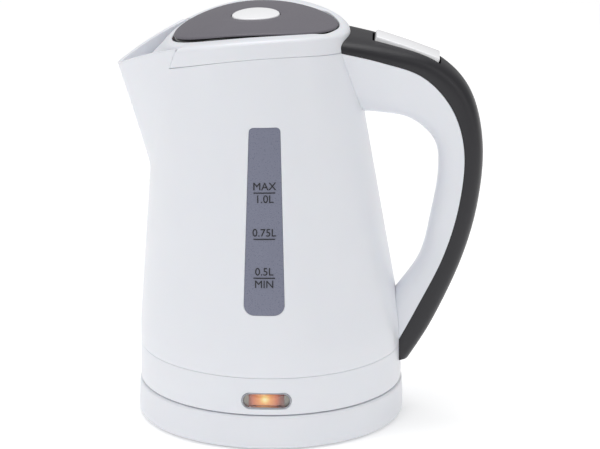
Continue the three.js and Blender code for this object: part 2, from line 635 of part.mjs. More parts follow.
// One half of a section, as [share of its depth, share of its half-width], from its crest to its open side.
const ROUNDED = [[0, 0], [0.02, 0.42], [0.1, 0.7], [0.26, 0.9], [0.52, 1], [1, 1]];

// A solid along the handle between an edge at the crest and the joint line, shrunk by an inset.
function handleLoft(crest, inset, beyond, first = 0, last = STATIONS.length - 1) {
  return loft(
    STATIONS.slice(first, last + 1).map((s) => {
      const from = s[crest];
      const to = s.b;
      const depth = Math.hypot(to[0] - from[0], to[1] - from[1]);
      const dir = [(to[0] - from[0]) / depth, (to[1] - from[1]) / depth];
      const run = depth - inset + beyond;
      const side = (sign) =>
        ROUNDED.map(([share, width]) => {
          const q = inset + share * run;
          const lerp = crest === "i" ? s.thin + (s.wide - s.thin) * Math.min(1, q / depth) : s.wide;
          const y = sign * width * (lerp - inset);
          return [from[0] + dir[0] * q, y, from[1] + dir[1] * q];
        });
      return [...side(1), ...side(-1).reverse().slice(0, -1)];
    }),
    false,
  );
}

// A geometry drawn about the switch's middle, tilted and set in its place.
function inSwitchFrame(geometry) {
  const tilt = (-SWITCH.tilt * Math.PI) / 180;
  const placed = new THREE.Matrix4().makeRotationY(tilt);
  placed.setPosition(SWITCH.x, 0, SWITCH.z);
  return solid(geometry.applyMatrix4(placed));
}

const switchBox = (l0, l1, halfWidth, h0, h1) =>
  inSwitchFrame(new THREE.BoxGeometry(l1 - l0, 2 * halfWidth, h1 - h0).translate((l0 + l1) / 2, 0, (h0 + h1) / 2));

// A cylinder along Y, placed by the switch's own length and height.
const switchRod = (l, h, radius, half, segments = 14) =>
  inSwitchFrame(new THREE.CylinderGeometry(radius, radius, 2 * half, segments).translate(l, 0, h));

const handleEnd = (inset) => unite(jugCore(-inset, false), turned([[0, 10], [JUG_RADIUS + inset, 10],
  [JUG_RADIUS + inset, 46], [0, 46]]));

function handleShell() {
  const outer = handleLoft("i", 0, 0);
  const cavity = handleLoft("i", WALL, 3, 1).subtract(handleEnd(GAP + WALL));
  const wired = rodX(0, WIRES.z, WIRES.hole, 60, 80, 12);
  const steamed = rodX(0, STEAM.z, STEAM.hole + 0.6, 38, 60);
  return cut(outer, cavity, handleEnd(GAP), wired, steamed);
}

function handleGrip() {
  const gripJoint = handleLoft("i", -0.001, GAP);
  const outer = handleLoft("o", 0, 0).subtract(gripJoint);
  const cavity = handleLoft("o", WALL, 3, 1, 15);
  const end = handleEnd(GAP);
  const opening = switchBox(-SWITCH.length / 2 - 1.2, SWITCH.length / 2 + 1.2, SWITCH.width / 2 + 0.6, -12, 12);
  return cut(outer, cavity, end, opening, switchRod(0, -4.6, 1.35, 12.8));
}

function buildHandle(jug) {
  add(jug, "handle_shell", handleShell(), white);
  add(jug, "handle_grip", handleGrip(), gripBlack);
  const module = switchBox(-13, 13, 9, -24, -12.6);
  add(jug, "steam_switch", module, paleNylon);
  const disk = inSwitchFrame(new THREE.CylinderGeometry(7, 7, 0.6, 20).rotateZ(Math.PI / 2).translate(-14, 0, -18));
  add(jug, "steam_bimetal", disk, steel);
  const duct = cut(rodX(0, STEAM.z, STEAM.hole, 40, 50.8, 14), rodX(0, STEAM.z, STEAM.hole - 1.2, 36, 60, 10));
  add(jug, "steam_duct", duct, silicone);
  add(jug, "rocker_pin", switchRod(0, -4.6, 1.2, 12.4), steel);
}

function rocker() {
  const { length, width } = SWITCH;
  const cap = switchBox(-length / 2, length / 2, width / 2, -1.2, 2.1);
  const web = switchBox(-7, 7, width / 2 - 2.4, -8, -1);
  const lever = switchBox(-2, 2, 3, -12, -7.5);
  return cut(unite(cap, web, lever), switchRod(0, -4.6, 1.35, 14));
}

// ---------- the lid ----------
const SHARES = [0.32, 0.55, 0.78, 0.93];

// The lid's domed top, at a share of the way out to its edge.
function domeZ(x, y) {
  const out = ((x - LID.x) / LID.a) ** 2 + (y / LID.b) ** 2;
  return crownZ(x) + LID.crown * (1 - out);
}

function lidCover() {
  const sections = [];
  for (let k = 0; k < ROUND; k++) {
    const angle = (k / ROUND) * 2 * Math.PI;
    const at = (share) => [LID.x - LID.a * share * Math.cos(angle), LID.b * share * Math.sin(angle)];
    const hole = BUTTON_RADIUS + 0.5;
    const bore = [LID.x - hole * Math.cos(angle), hole * Math.sin(angle)];
    const guide = [LID.x - (hole + 1.6) * Math.cos(angle), (hole + 1.6) * Math.sin(angle)];
    const top = (p, down = 0) => [...p, domeZ(...p) - down];
    sections.push([
      top(bore, 5), top(bore), ...SHARES.slice(1).map((s) => top(at(s))), top(at(0.985), 0.3), top(at(1), 1.1),
      onCrown(at(1), 4.6), onCrown(at(0.952), 4.6), top(at(0.945), 2.4), top(at(0.6), 2.2), top(guide, 2.2),
      top(guide, 5),
    ]);
  }
  return cut(loft(sections, true), rodY(HINGE.x, HINGE.z, 1.7, -32, 32), rodY(HINGE.x, HINGE.z, 2.4, -16.4, 16.4));
}

function ellipsePrism(grow, z0, z1) {
  const g = new THREE.CylinderGeometry(1, 1, z1 - z0, ROUND).rotateX(Math.PI / 2);
  return solid(g.scale(LID.a + grow, LID.b + grow, 1).translate(LID.x, 0, (z0 + z1) / 2));
}

// The lid's inner tray, with the button's post, the latches' ways and the two hinge knuckles.
function lidInner() {
  const block = crownSlice(ellipsePrism(-0.9, 190, 225), 4.9, 12);
  const hollow = crownSlice(ellipsePrism(-2.9, 190, 225), 3, 10.2);
  const post = disc(LID.x, 0, 5.6, crownZ(LID.x, 11), crownZ(LID.x, 8), 20);
  const latchWay = box(LID.x - 5, LID.x + 5, -LID.b - 3, LID.b + 3, LATCH_Z - 1.8, LATCH_Z + 1.8);
  const pinWay = rodY(HINGE.x, HINGE.z, 1.8, -32, 32);
  const tray = cut(block, hollow, latchWay, pinWay, sealGroove());
  const [y0, y1] = HINGE.knuckles;
  const knuckles = [[-y1, -y0], [y0, y1]].map(([a, b]) =>
    cut(
      unite(rodY(HINGE.x, HINGE.z, 2.1, a, b), box(HINGE.x - 2.1, HINGE.x + 2.1, a, b, HINGE.z - 9, HINGE.z)),
      rodY(HINGE.x, HINGE.z, HINGE.hole, a - 1, b + 1),
    ),
  );
  return unite(tray, post, ...knuckles);
}

const sealGroove = () => crownSlice(cut(ellipsePrism(3, 190, 225), ellipsePrism(-2.3, 190, 225)), 8, 10.1);

function lidSeal() {
  return crownSlice(cut(ellipsePrism(-0.4, 190, 225), ellipsePrism(-2, 190, 225)), 8.3, 9.8);
}

// A latch bar from near the middle of the lid to its edge. A leg of the button works in its slot.
function latch(side) {
  const y = (reach) => side * reach;
  const span = (a, b, x0, x1, z0, z1) => box(x0, x1, Math.min(y(a), y(b)), Math.max(y(a), y(b)), z0, z1);
  const half = LATCH.width / 2;
  const bar = span(6.4, LID.b + 0.4, LID.x - half, LID.x + half, LATCH_Z - LATCH.thick / 2, LATCH_Z + LATCH.thick / 2);
  return cut(bar, span(9.2, 16.4, LID.x - 2.2, LID.x + 2.2, LATCH_Z - 4, LATCH_Z + 4));
}

// The round button: a shallow cap that carries on the lid's dome, two legs and a stem for the spring.
function button() {
  const rings = [0.3, 0.65, 0.94, 1];
  const sections = [];
  for (let k = 0; k < INNER_ROUND; k++) {
    const angle = (k / INNER_ROUND) * 2 * Math.PI;
    const at = (share) => [
      LID.x - BUTTON_RADIUS * share * Math.cos(angle), BUTTON_RADIUS * share * Math.sin(angle)];
    const rim = rings.map((s) => [...at(s), domeZ(...at(s)) + (s === 1 ? -0.2 : 0.25)]);
    sections.push([...rim, [...at(1), domeZ(LID.x, 0) - 3], [...at(0.3), domeZ(LID.x, 0) - 3]]);
  }
  const z = domeZ(LID.x, 0);
  const middle = disc(LID.x, 0, BUTTON_RADIUS * 0.3 + 0.2, z - 3, z + 0.2, INNER_ROUND);
  const stem = disc(LID.x, 0, 2.2, z - 5, z - 2.5, 16);
  const legs = [-1, 1].map((side) => {
    const far = side * 11.4;
    const near = side * 9.8;
    return box(LID.x - 1.8, LID.x + 1.8, Math.min(near, far), Math.max(near, far), LATCH_Z - 0.6, z - 2.5);
  });
  return unite(loft(sections, true), middle, stem, ...legs);
}

function buildLid() {
  const lid = group("lid");
  add(lid, "lid_cover", lidCover(), darkGrey);
  add(lid, "lid_inner", lidInner(), white);
  add(lid, "lid_seal", lidSeal(), silicone);
  add(lid, "lid_button", button(), white);
  add(lid, "lid_latch_front", latch(-1), paleNylon);
  add(lid, "lid_latch_back", latch(1), paleNylon);
  const z = crownZ(LID.x, 7.6);
  const coil = new Helix(new THREE.Vector3(LID.x, 0, z), 3.6, 3.5, 4, "z");
  add(lid, "button_spring", tube(coil, 0.4, 24, 4), steel);
}

function buildJug() {
  const jug = group("jug");
  add(jug, "jug_shell", jugShell(), white);
  add(jug, "water_window", waterWindow(), smoke);
  add(jug, "collar_ring", collar(), white);
  add(jug, "spout_filter", spoutFilter(), white);
  add(jug, "skirt_cover", skirtCover(), white);
  around(POSTS.angles, POSTS.radius, (x, y) => screw(x, y, 24.6, 42)).forEach((one, k) =>
    add(jug, `skirt_screw_${k + 1}`, one, steel),
  );
  buildLamp(jug);
  buildHeater(jug);
  buildControl(jug);
  buildHandle(jug);
  const reach = halfWidthAt(HINGE.x) + 3.2;
  add(jug, "lid_hinge_pin", rodY(HINGE.x, HINGE.z, HINGE.pin, -reach, reach), steel);
  const coil = new Helix(new THREE.Vector3(HINGE.x, -6, HINGE.z), 1.85, 6, 12, "y");
  add(jug, "lid_spring", tube(coil, 0.3, 40, 4), steel);
}

buildPowerBase();
buildPlug();
buildJug();
buildLid();
add(group("switch"), "switch_rocker", rocker(), white);

export default kettle;
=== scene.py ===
"""A one litre cordless electric kettle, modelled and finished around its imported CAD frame.

Sizes are in millimetres and are turned into metres where a mesh is made. +X points to the handle, -X to the
spout, -Y to the side with the water window and the lamp, and +Z up.
"""

import enum
import json
import logging
import math
from dataclasses import dataclass, field
from typing import Any, Callable, Optional, Sequence

import bpy
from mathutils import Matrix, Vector

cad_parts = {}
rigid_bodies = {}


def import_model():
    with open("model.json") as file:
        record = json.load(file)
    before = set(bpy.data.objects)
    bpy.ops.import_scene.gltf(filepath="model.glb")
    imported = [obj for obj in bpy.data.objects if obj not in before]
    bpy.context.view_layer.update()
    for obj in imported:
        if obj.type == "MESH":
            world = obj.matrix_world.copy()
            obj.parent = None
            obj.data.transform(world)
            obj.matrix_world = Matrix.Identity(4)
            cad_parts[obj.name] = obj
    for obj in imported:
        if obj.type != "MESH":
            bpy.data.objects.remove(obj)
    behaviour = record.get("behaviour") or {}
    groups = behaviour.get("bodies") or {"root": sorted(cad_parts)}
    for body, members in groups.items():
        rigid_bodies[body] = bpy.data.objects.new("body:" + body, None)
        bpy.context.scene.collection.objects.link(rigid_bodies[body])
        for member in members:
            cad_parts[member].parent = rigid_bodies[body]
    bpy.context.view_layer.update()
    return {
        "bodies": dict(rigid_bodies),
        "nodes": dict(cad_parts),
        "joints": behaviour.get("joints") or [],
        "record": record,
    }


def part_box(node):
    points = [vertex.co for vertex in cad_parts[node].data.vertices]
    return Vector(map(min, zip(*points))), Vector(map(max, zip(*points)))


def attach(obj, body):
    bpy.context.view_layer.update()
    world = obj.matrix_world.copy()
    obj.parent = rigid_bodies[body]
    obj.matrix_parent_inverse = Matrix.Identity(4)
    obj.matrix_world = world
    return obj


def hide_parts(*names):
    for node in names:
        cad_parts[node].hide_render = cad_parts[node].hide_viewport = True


MM = 0.001
TURN = 2 * math.pi
# Points closer together than this, in metres, are merged.
WELD = 2e-6
# A share of the turn too small to see, which keeps two columns apart.
SLIVER = 1e-5
LOG = logging.getLogger("kettle")

Point = tuple[float, float, float]
Pair = tuple[float, float]


class Body(enum.Enum):
    """The moving bodies of the frame."""

    POWER_BASE = "power_base"
    PLUG = "jug_plug"
    JUG = "jug"
    LID = "lid"
    BUTTON = "button"
    SWITCH = "switch"


class Pattern(enum.Enum):
    """How a surface was made, which decides the texture that it carries."""

    MOULDED = "moulded"
    GRAINED = "grained"
    BRUSHED = "brushed"


# ---------------------------------------------------------------- finishes


def linear(hex_colour: str) -> tuple[float, float, float, float]:
    """Turn an sRGB hex colour into Blender's linear one.

    Args:
        hex_colour: Six hex digits, such as "F2F3F5".

    Returns:
        Red, green, blue and an alpha of one, linear.
    """
    channels = [int(hex_colour[k : k + 2], 16) / 255 for k in (0, 2, 4)]
    red, green, blue = (c / 12.92 if c <= 0.04045 else ((c + 0.055) / 1.055) ** 2.4 for c in channels)
    return red, green, blue, 1.0


def add_node(
    tree: bpy.types.NodeTree,
    kind: str,
    settings: Optional[dict[str, Any]] = None,
    links: Optional[dict[str, bpy.types.NodeSocket]] = None,
) -> bpy.types.Node:
    """Add a node with its settings and the links into it.

    Args:
        tree: The node tree.
        kind: The node's type.
        settings: Values for its sockets or properties, by name.
        links: Output sockets of other nodes, by the name of the input they go to.

    Returns:
        The new node.
    """
    node = tree.nodes.new(kind)
    for name, value in (settings or {}).items():
        if name in node.inputs:
            node.inputs[name].default_value = value
        else:
            setattr(node, name, value)
    for name, source in (links or {}).items():
        tree.links.new(source, node.inputs[name])
    return node


@dataclass(frozen=True)
class Finish:
    """One real material with the way its surface was made."""

    name: str
    slot: str
    colour: str
    shade: str
    roughness: float
    pattern: Pattern = Pattern.MOULDED
    grain_mm: float = 0.7
    relief_mm: float = 0.004
    ior: float = 1.49
    metallic: float = 0.0
    coat: float = 0.0
    transmission: float = 0.0
    subsurface: float = 0.0
    drift_mm: float = 40.0

    def material(self) -> bpy.types.Material:
        """Make the material, or find it if it was made before."""
        found = bpy.data.materials.get(self.name)
        if found:
            return found
        made = bpy.data.materials.new(self.name)
        made.use_nodes = True
        tree = made.node_tree
        shader = tree.nodes["Principled BSDF"]
        shader.inputs["IOR"].default_value = self.ior
        shader.inputs["Metallic"].default_value = self.metallic
        shader.inputs["Coat Weight"].default_value = self.coat
        shader.inputs["Coat Roughness"].default_value = 0.08
        shader.inputs["Transmission Weight"].default_value = self.transmission
        shader.inputs["Subsurface Weight"].default_value = self.subsurface
        shader.inputs["Subsurface Scale"].default_value = 2 * MM
        self._surface(tree, shader)
        return made

    def _surface(self, tree: bpy.types.NodeTree, shader: bpy.types.Node) -> None:
        """Vary the colour and roughness slowly, and add the fine relief of the process.

        Args:
            tree: The material's node tree.
            shader: Its Principled BSDF.
        """
        place = add_node(tree, "ShaderNodeTexCoord").outputs["Object"]
        drift = add_node(
            tree,
            "ShaderNodeTexNoise",
            {"Scale": 1 / (self.drift_mm * MM), "Detail": 2.0},
            {"Vector": place},
        )
        tint = add_node(
            tree,
            "ShaderNodeMix",
            {"data_type": "RGBA"},
            {"Factor": drift.outputs["Fac"]},
        )
        tint.inputs[6].default_value = linear(self.colour)
        tint.inputs[7].default_value = linear(self.shade)
        tree.links.new(tint.outputs[2], shader.inputs["Base Color"])
        relief = self._relief(tree, place)
        rough = add_node(
            tree,
            "ShaderNodeMapRange",
            {"To Min": self.roughness * 0.88, "To Max": self.roughness * 1.14},
            {"Value": relief},
        )
        tree.links.new(rough.outputs["Result"], shader.inputs["Roughness"])
        bump = add_node(
            tree,
            "ShaderNodeBump",
            {"Distance": self.relief_mm * MM, "Strength": 1.0},
            {"Height": relief},
        )
        tree.links.new(bump.outputs["Normal"], shader.inputs["Normal"])

    def _relief(self, tree: bpy.types.NodeTree, place: bpy.types.NodeSocket) -> bpy.types.NodeSocket:
        """Give the height of the surface texture.

        Args:
            tree: The material's node tree.
            place: The coordinates that it reads.

        Returns:
            The socket with the height, from 0 to 1.
        """
        scale = 1 / (self.grain_mm * MM)
        if self.pattern is Pattern.GRAINED:
            pits = add_node(tree, "ShaderNodeTexVoronoi", {"Scale": scale}, {"Vector": place})
            return pits.outputs["Distance"]
        if self.pattern is Pattern.BRUSHED:
            lines = add_node(tree, "ShaderNodeMapping", {"Scale": (1.0, 0.04, 1.0)}, {"Vector": place})
            brushed = add_node(
                tree,
                "ShaderNodeTexNoise",
                {"Scale": scale, "Detail": 3.0},
                {"Vector": lines.outputs["Vector"]},
            )
            return brushed.outputs["Fac"]
        peel = add_node(tree, "ShaderNodeTexNoise", {"Scale": scale, "Detail": 1.0}, {"Vector": place})
        return peel.outputs["Fac"]


@dataclass(frozen=True)
class Glow(Finish):
    """An amber diffuser lit from behind by a small neon bulb."""

    bulb: Point = (0.0, 0.0, 0.0)
    reach_mm: float = 11.5

    def _surface(self, tree: bpy.types.NodeTree, shader: bpy.types.Node) -> None:
        """Fade the light away from the bulb, over a prismatic relief."""
        super()._surface(tree, shader)
        place = add_node(tree, "ShaderNodeTexCoord").outputs["Object"]
        bulb = [c * MM for c in self.bulb]
        away = add_node(
            tree, "ShaderNodeVectorMath", {"operation": "DISTANCE"}, {"Vector": place}
        )
        away.inputs[1].default_value = bulb
        near = add_node(
            tree,
            "ShaderNodeMapRange",
            {"From Min": 0.0, "From Max": self.reach_mm * MM},
            {"Value": away.outputs["Value"]},
        )
        ramp = add_node(tree, "ShaderNodeValToRGB", {}, {"Fac": near.outputs["Result"]})
        stops = ramp.color_ramp.elements
        stops[0].position = 0.04
        stops[0].color = linear("FFFBE0")
        stops[1].position = 1.0
        stops[1].color = linear("3C201E")
        for position, colour in ((0.13, "FFE28C"), (0.26, "F0A25A"), (0.55, "C96C44"), (0.74, "743C32")):
            stops.new(position).color = linear(colour)
        tree.links.new(ramp.outputs["Color"], shader.inputs["Emission Color"])
        shader.inputs["Emission Strength"].default_value = 0.85


# Injection moulded polypropylene: bright and smooth, with a faint orange peel.
WHITE = Finish("white_polypropylene_moulded", "white_shell", "E6E8EE", "EAECF1", 0.3, subsurface=0.04)
# The same plastic on small polished keys.
WHITE_KEY = Finish(
    "white_abs_polished", "white_button", "F6F6F8", "F9F9FB", 0.22, grain_mm=1.2, relief_mm=0.002
)
# Spark-eroded ABS: a fine even matt that catches a broad soft sheen.
LID_GREY = Finish(
    "grey_abs_spark_eroded", "lid_grey", "625F67", "6A676F", 0.42, Pattern.GRAINED, 0.5, 0.012
)
# Polished black ABS on the lid's edge. Its near-black is also carried down into the gap round the lid as painted
# shadow.
LID_EDGE_AND_GAP_SHADOW = Finish("black_abs_polished_and_painted_gap_shadow", "lid_grey", "0A0A0C", "0F0F11", 0.12, grain_mm=1.5, relief_mm=0.001)
# Charcoal polypropylene with a fine eroded grain, as on most grips.
GRIP = Finish(
    "charcoal_polypropylene_grained", "grip_black", "1C1B20", "232227", 0.4, Pattern.GRAINED, 0.55, 0.016
)
# Smoke-tinted translucent polypropylene.
SMOKE = Finish(
    "smoke_polypropylene_translucent",
    "smoke_window",
    "7E8194",
    "808396",
    0.28,
    transmission=0.08,
    relief_mm=0.002,
)
# Pad-printed ink.
INK = Finish("black_ink_printed", "smoke_window", "17171C", "1D1D22", 0.5, relief_mm=0.002)
# Clear polycarbonate.
CLEAR = Finish(
    "clear_polycarbonate_moulded", "clear_lens", "FFFFFF", "F6F8FA", 0.05, transmission=1.0, ior=1.585
)
# Chromium over ABS.
CHROME = Finish(
    "chromed_abs", "chrome_trim", "9A9CA3", "A6A8AE", 0.16, metallic=1.0, ior=1.5, relief_mm=0.001
)
# Stainless steel sheet with a brushed grain along Y.
STAINLESS = Finish(
    "stainless_steel_brushed", "stainless", "B5B6B9", "BFC0C3", 0.3, Pattern.BRUSHED, 0.5, 0.004, 1.5, 1.0
)
ALUMINIUM = Finish(
    "aluminium_as_cast", "aluminium_cast", "A2A4A7", "B0B2B5", 0.45, Pattern.GRAINED, 0.8, 0.02, 1.5, 1.0
)
BRASS = Finish("brass_stamped", "brass", "B8924A", "C7A257", 0.28, grain_mm=1.0, metallic=1.0, ior=1.5)
ZINC = Finish("steel_zinc_plated", "steel", "9C9FA4", "ABAEB2", 0.3, grain_mm=0.9, metallic=1.0, ior=1.5)
NYLON = Finish(
    "black_nylon_moulded", "dark_nylon", "1E1E21", "26262A", 0.5, Pattern.GRAINED, 0.6, 0.012, 1.53
)
PALE_NYLON = Finish("natural_nylon_moulded", "pale_nylon", "D8D3C6", "E0DCD0", 0.5, ior=1.53, subsurface=0.06)
SILICONE = Finish("silicone_moulded", "silicone", "C4BFB8", "CECAC3", 0.6, ior=1.41, subsurface=0.1)
RUBBER = Finish("rubber_moulded", "foot_rubber", "2B2B2D", "343436", 0.75, Pattern.GRAINED, 0.7, 0.02, 1.52)


# ---------------------------------------------------------------- Blender's operators, one piece at a time


def deselect() -> None:
    """Leave object mode with nothing selected."""
    if bpy.context.mode != "OBJECT":
        bpy.ops.object.mode_set(mode="OBJECT")
    bpy.ops.object.select_all(action="DESELECT")


def pick(piece: bpy.types.Object) -> None:
    """Select one piece and make it active."""
    deselect()
    piece.select_set(True)
    bpy.context.view_layer.objects.active = piece


def named(name: str) -> bpy.types.Object:
    """Name the piece that was just added, and its mesh."""
    piece = bpy.context.object
    piece.name = name
    piece.data.name = name
    return piece


def close_up(piece: bpy.types.Object) -> None:
    """Merge doubled points and turn the faces outwards."""
    pick(piece)
    bpy.ops.object.mode_set(mode="EDIT")
    bpy.ops.mesh.select_all(action="SELECT")
    bpy.ops.mesh.remove_doubles(threshold=WELD)
    bpy.ops.mesh.normals_make_consistent(inside=False)
    bpy.ops.object.mode_set(mode="OBJECT")


def fillet(corners: Sequence[tuple[float, float, float]], steps: int = 6) -> list[Pair]:
    """Round the corners of an outline.

    Args:
        corners: Each corner's two coordinates and its radius.
        steps: Segments in each rounded corner.

    Returns:
        The outline's points.
    """
    points: list[Pair] = []
    count = len(corners)
    for k, (x, y, radius) in enumerate(corners):
        here = Vector((x, y))
        if radius <= 0 or k in (0, count - 1):
            points.append((x, y))
            continue
        before = (Vector(corners[k - 1][:2]) - here).normalized()
        after = (Vector(corners[k + 1][:2]) - here).normalized()
        half = before.angle(after) / 2
        reach = radius / math.tan(half)
        start, end = here + before * reach, here + after * reach
        centre = here + (before + after).normalized() * (radius / math.sin(half))
        first, last = start - centre, end - centre
        sweep = first.angle_signed(last)
        for step in range(steps + 1):
            angle = -sweep * step / steps
            turned_by = Vector(
                (
                    first.x * math.cos(angle) - first.y * math.sin(angle),
                    first.x * math.sin(angle) + first.y * math.cos(angle),
                )
            )
            points.append(tuple(centre + turned_by))
    return points


def turned(name: str, outline: Sequence[Pair], steps: int = 128, closed: bool = True) -> bpy.types.Object:
    """Draw an outline by extruding a point, and spin it about the Z axis.

    Args:
        name: The piece's name.
        outline: Radius and height of each point.
        steps: Steps of the spin.
        closed: Whether the outline returns to its first point.

    Returns:
        The new piece.
    """
    path = list(outline) + ([outline[0]] if closed else [])
    deselect()
    bpy.ops.mesh.primitive_plane_add(size=2 * MM)
    piece = named(name)
    bpy.ops.object.mode_set(mode="EDIT")
    bpy.ops.mesh.select_all(action="SELECT")
    bpy.ops.mesh.merge(type="CENTER")
    bpy.ops.transform.translate(value=(path[0][0] * MM, 0, path[0][1] * MM))
    for (r0, z0), (r1, z1) in zip(path, path[1:]):
        step = ((r1 - r0) * MM, 0, (z1 - z0) * MM)
        bpy.ops.mesh.extrude_region_move(TRANSFORM_OT_translate={"value": step})
    bpy.ops.mesh.select_all(action="SELECT")
    bpy.ops.mesh.spin(steps=steps, angle=TURN, center=(0, 0, 0), axis=(0, 0, 1))
    close_up(piece)
    return piece


def formed(name: str, columns: int, rows: int, place: Callable[[float, float], Point]) -> bpy.types.Object:
    """Add a grid and press it into a form.

    Args:
        name: The piece's name.
        columns: Faces along the first direction.
        rows: Faces along the second.
        place: Gives the point for two shares from 0 to 1.

    Returns:
        The new piece.
    """
    deselect()
    bpy.ops.mesh.primitive_grid_add(x_subdivisions=columns, y_subdivisions=rows, size=2)
    piece = named(name)
    for vertex in piece.data.vertices:
        u, v = (vertex.co.x + 1) / 2, (vertex.co.y + 1) / 2
        vertex.co = Vector(place(u, v)) * MM
    close_up(piece)
    return piece


def face_front(piece: bpy.types.Object) -> None:
    """Turn a sheet's faces so that they look along -Y."""
    if sum(face.normal.y * face.area for face in piece.data.polygons) > 0:
        pick(piece)
        bpy.ops.object.mode_set(mode="EDIT")
        bpy.ops.mesh.select_all(action="SELECT")
        bpy.ops.mesh.flip_normals()
        bpy.ops.object.mode_set(mode="OBJECT")


def cap_ends(piece: bpy.types.Object) -> None:
    """Fill the open rings of a formed piece, so that it is a closed solid."""
    pick(piece)
    bpy.ops.object.mode_set(mode="EDIT")
    bpy.ops.mesh.select_all(action="SELECT")
    bpy.ops.mesh.fill_holes(sides=0)
    bpy.ops.object.mode_set(mode="OBJECT")
    close_up(piece)


def prism(name: str, outline: Sequence[Pair], near: float, far: float) -> bpy.types.Object:
    """Extend a closed outline, drawn in X and Z, along Y, as a tool for cutting.

    Args:
        name: The tool's name.
        outline: Its points. The last repeats the first.
        near: The Y of one end.
        far: The Y of the other.

    Returns:
        The closed tool.
    """
    count = len(outline) - 1

    def place(u: float, v: float) -> Point:
        x, z = outline[round(u * count)]
        return x, near + (far - near) * v, z

    tool = formed(name, count, 1, place)
    cap_ends(tool)
    return tool


def modify(piece: bpy.types.Object, kind: str, **settings: Any) -> None:
    """Add a modifier with its settings and apply it.

    Args:
        piece: The piece.
        kind: The modifier's type.
        **settings: Its properties.
    """
    pick(piece)
    modifier = piece.modifiers.new(kind.title(), kind)
    for name, value in settings.items():
        setattr(modifier, name, value)
    bpy.ops.object.modifier_apply(modifier=modifier.name)


def round_edges(piece: bpy.types.Object, width: float, segments: int = 3, angle: float = 40) -> None:
    """Bevel the edges sharper than an angle, in millimetres and degrees."""
    modify(
        piece,
        "BEVEL",
        width=width * MM,
        segments=segments,
        limit_method="ANGLE",
        angle_limit=math.radians(angle),
        use_clamp_overlap=True,
    )


def combine(piece: bpy.types.Object, tool: bpy.types.Object, how: str = "DIFFERENCE") -> None:
    """Cut a piece with a tool, keep what they share, or join them, and remove the tool."""
    modify(piece, "BOOLEAN", object=tool, operation=how, solver="EXACT")
    bpy.data.objects.remove(tool, do_unlink=True)


def shade(piece: bpy.types.Object, degrees: float = 35) -> None:
    """Shade a piece smooth, apart from edges sharper than an angle."""
    pick(piece)
    bpy.ops.object.shade_smooth_by_angle(angle=math.radians(degrees))


def shift(piece: bpy.types.Object, offset: Point) -> None:
    """Move a piece's mesh by millimetres."""
    pick(piece)
    bpy.ops.object.mode_set(mode="EDIT")
    bpy.ops.mesh.select_all(action="SELECT")
    bpy.ops.transform.translate(value=[c * MM for c in offset])
    bpy.ops.object.mode_set(mode="OBJECT")


def turn(piece: bpy.types.Object, radians: float, axis: str, centre: Point) -> None:
    """Turn a piece's mesh about an axis by the right-hand rule."""
    pick(piece)
    bpy.ops.object.mode_set(mode="EDIT")
    bpy.ops.mesh.select_all(action="SELECT")
    bpy.ops.transform.rotate(value=-radians, orient_axis=axis, center_override=[c * MM for c in centre])
    bpy.ops.object.mode_set(mode="OBJECT")


def block(name: str, low: Point, high: Point) -> bpy.types.Object:
    """Add a box between two corners in millimetres, with its place in its mesh."""
    deselect()
    middle = [(a + b) / 2 * MM for a, b in zip(low, high)]
    size = [(b - a) * MM for a, b in zip(low, high)]
    bpy.ops.mesh.primitive_cube_add(size=1, location=middle)
    piece = named(name)
    piece.scale = size
    bpy.ops.object.transform_apply(location=True, rotation=True, scale=True)
    return piece


def copied(piece: bpy.types.Object, name: str) -> bpy.types.Object:
    """Copy a piece with its own mesh."""
    pick(piece)
    bpy.ops.object.duplicate(linked=False)
    return named(name)


def fit(piece: bpy.types.Object, body: Body, finish: Finish, *nodes: str) -> bpy.types.Object:
    """Dress a finished piece and mount it on its body.

    Args:
        piece: The piece.
        body: The body that it rides on.
        finish: Its material.
        *nodes: The CAD nodes that it stands for.

    Returns:
        The same piece.
    """
    piece.data.materials.clear()
    piece.data.materials.append(finish.material())
    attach(piece, body.value)
    if nodes:
        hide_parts(*nodes)
    LOG.info("%s: %d faces on %s", piece.name, len(piece.data.polygons), body.value)
    return piece


def dress_node(node: bpy.types.Object, finish: Finish) -> None:
    """Give a CAD node that stays its material."""
    node.data.materials.clear()
    node.data.materials.append(finish.material())


def mm_box(node: str) -> tuple[Vector, Vector]:
    """A CAD node's lowest and highest corners in millimetres."""
    low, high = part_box(node)
    return Vector(low) / MM, Vector(high) / MM


def between(values: Sequence[Sequence[float]], share: float) -> list[float]:
    """Follow a smooth curve through rows of values.

    Args:
        values: The rows that it passes through, evenly spaced.
        share: How far along, from 0 to 1.

    Returns:
        The row at that share.
    """
    last = len(values) - 1
    place = min(max(share, 0.0), 1.0) * last
    k = min(int(place), last - 1)
    t = place - k
    rows = [values[max(k - 1, 0)], values[k], values[k + 1], values[min(k + 2, last)]]
    weights = (
        -0.5 * t + t**2 - 0.5 * t**3,
        1 - 2.5 * t**2 + 1.5 * t**3,
        0.5 * t + 2 * t**2 - 1.5 * t**3,
        -0.5 * t**2 + 0.5 * t**3,
    )
    return [sum(w * row[c] for w, row in zip(weights, rows)) for c in range(len(values[0]))]


# ---------------------------------------------------------------- the jug's outline


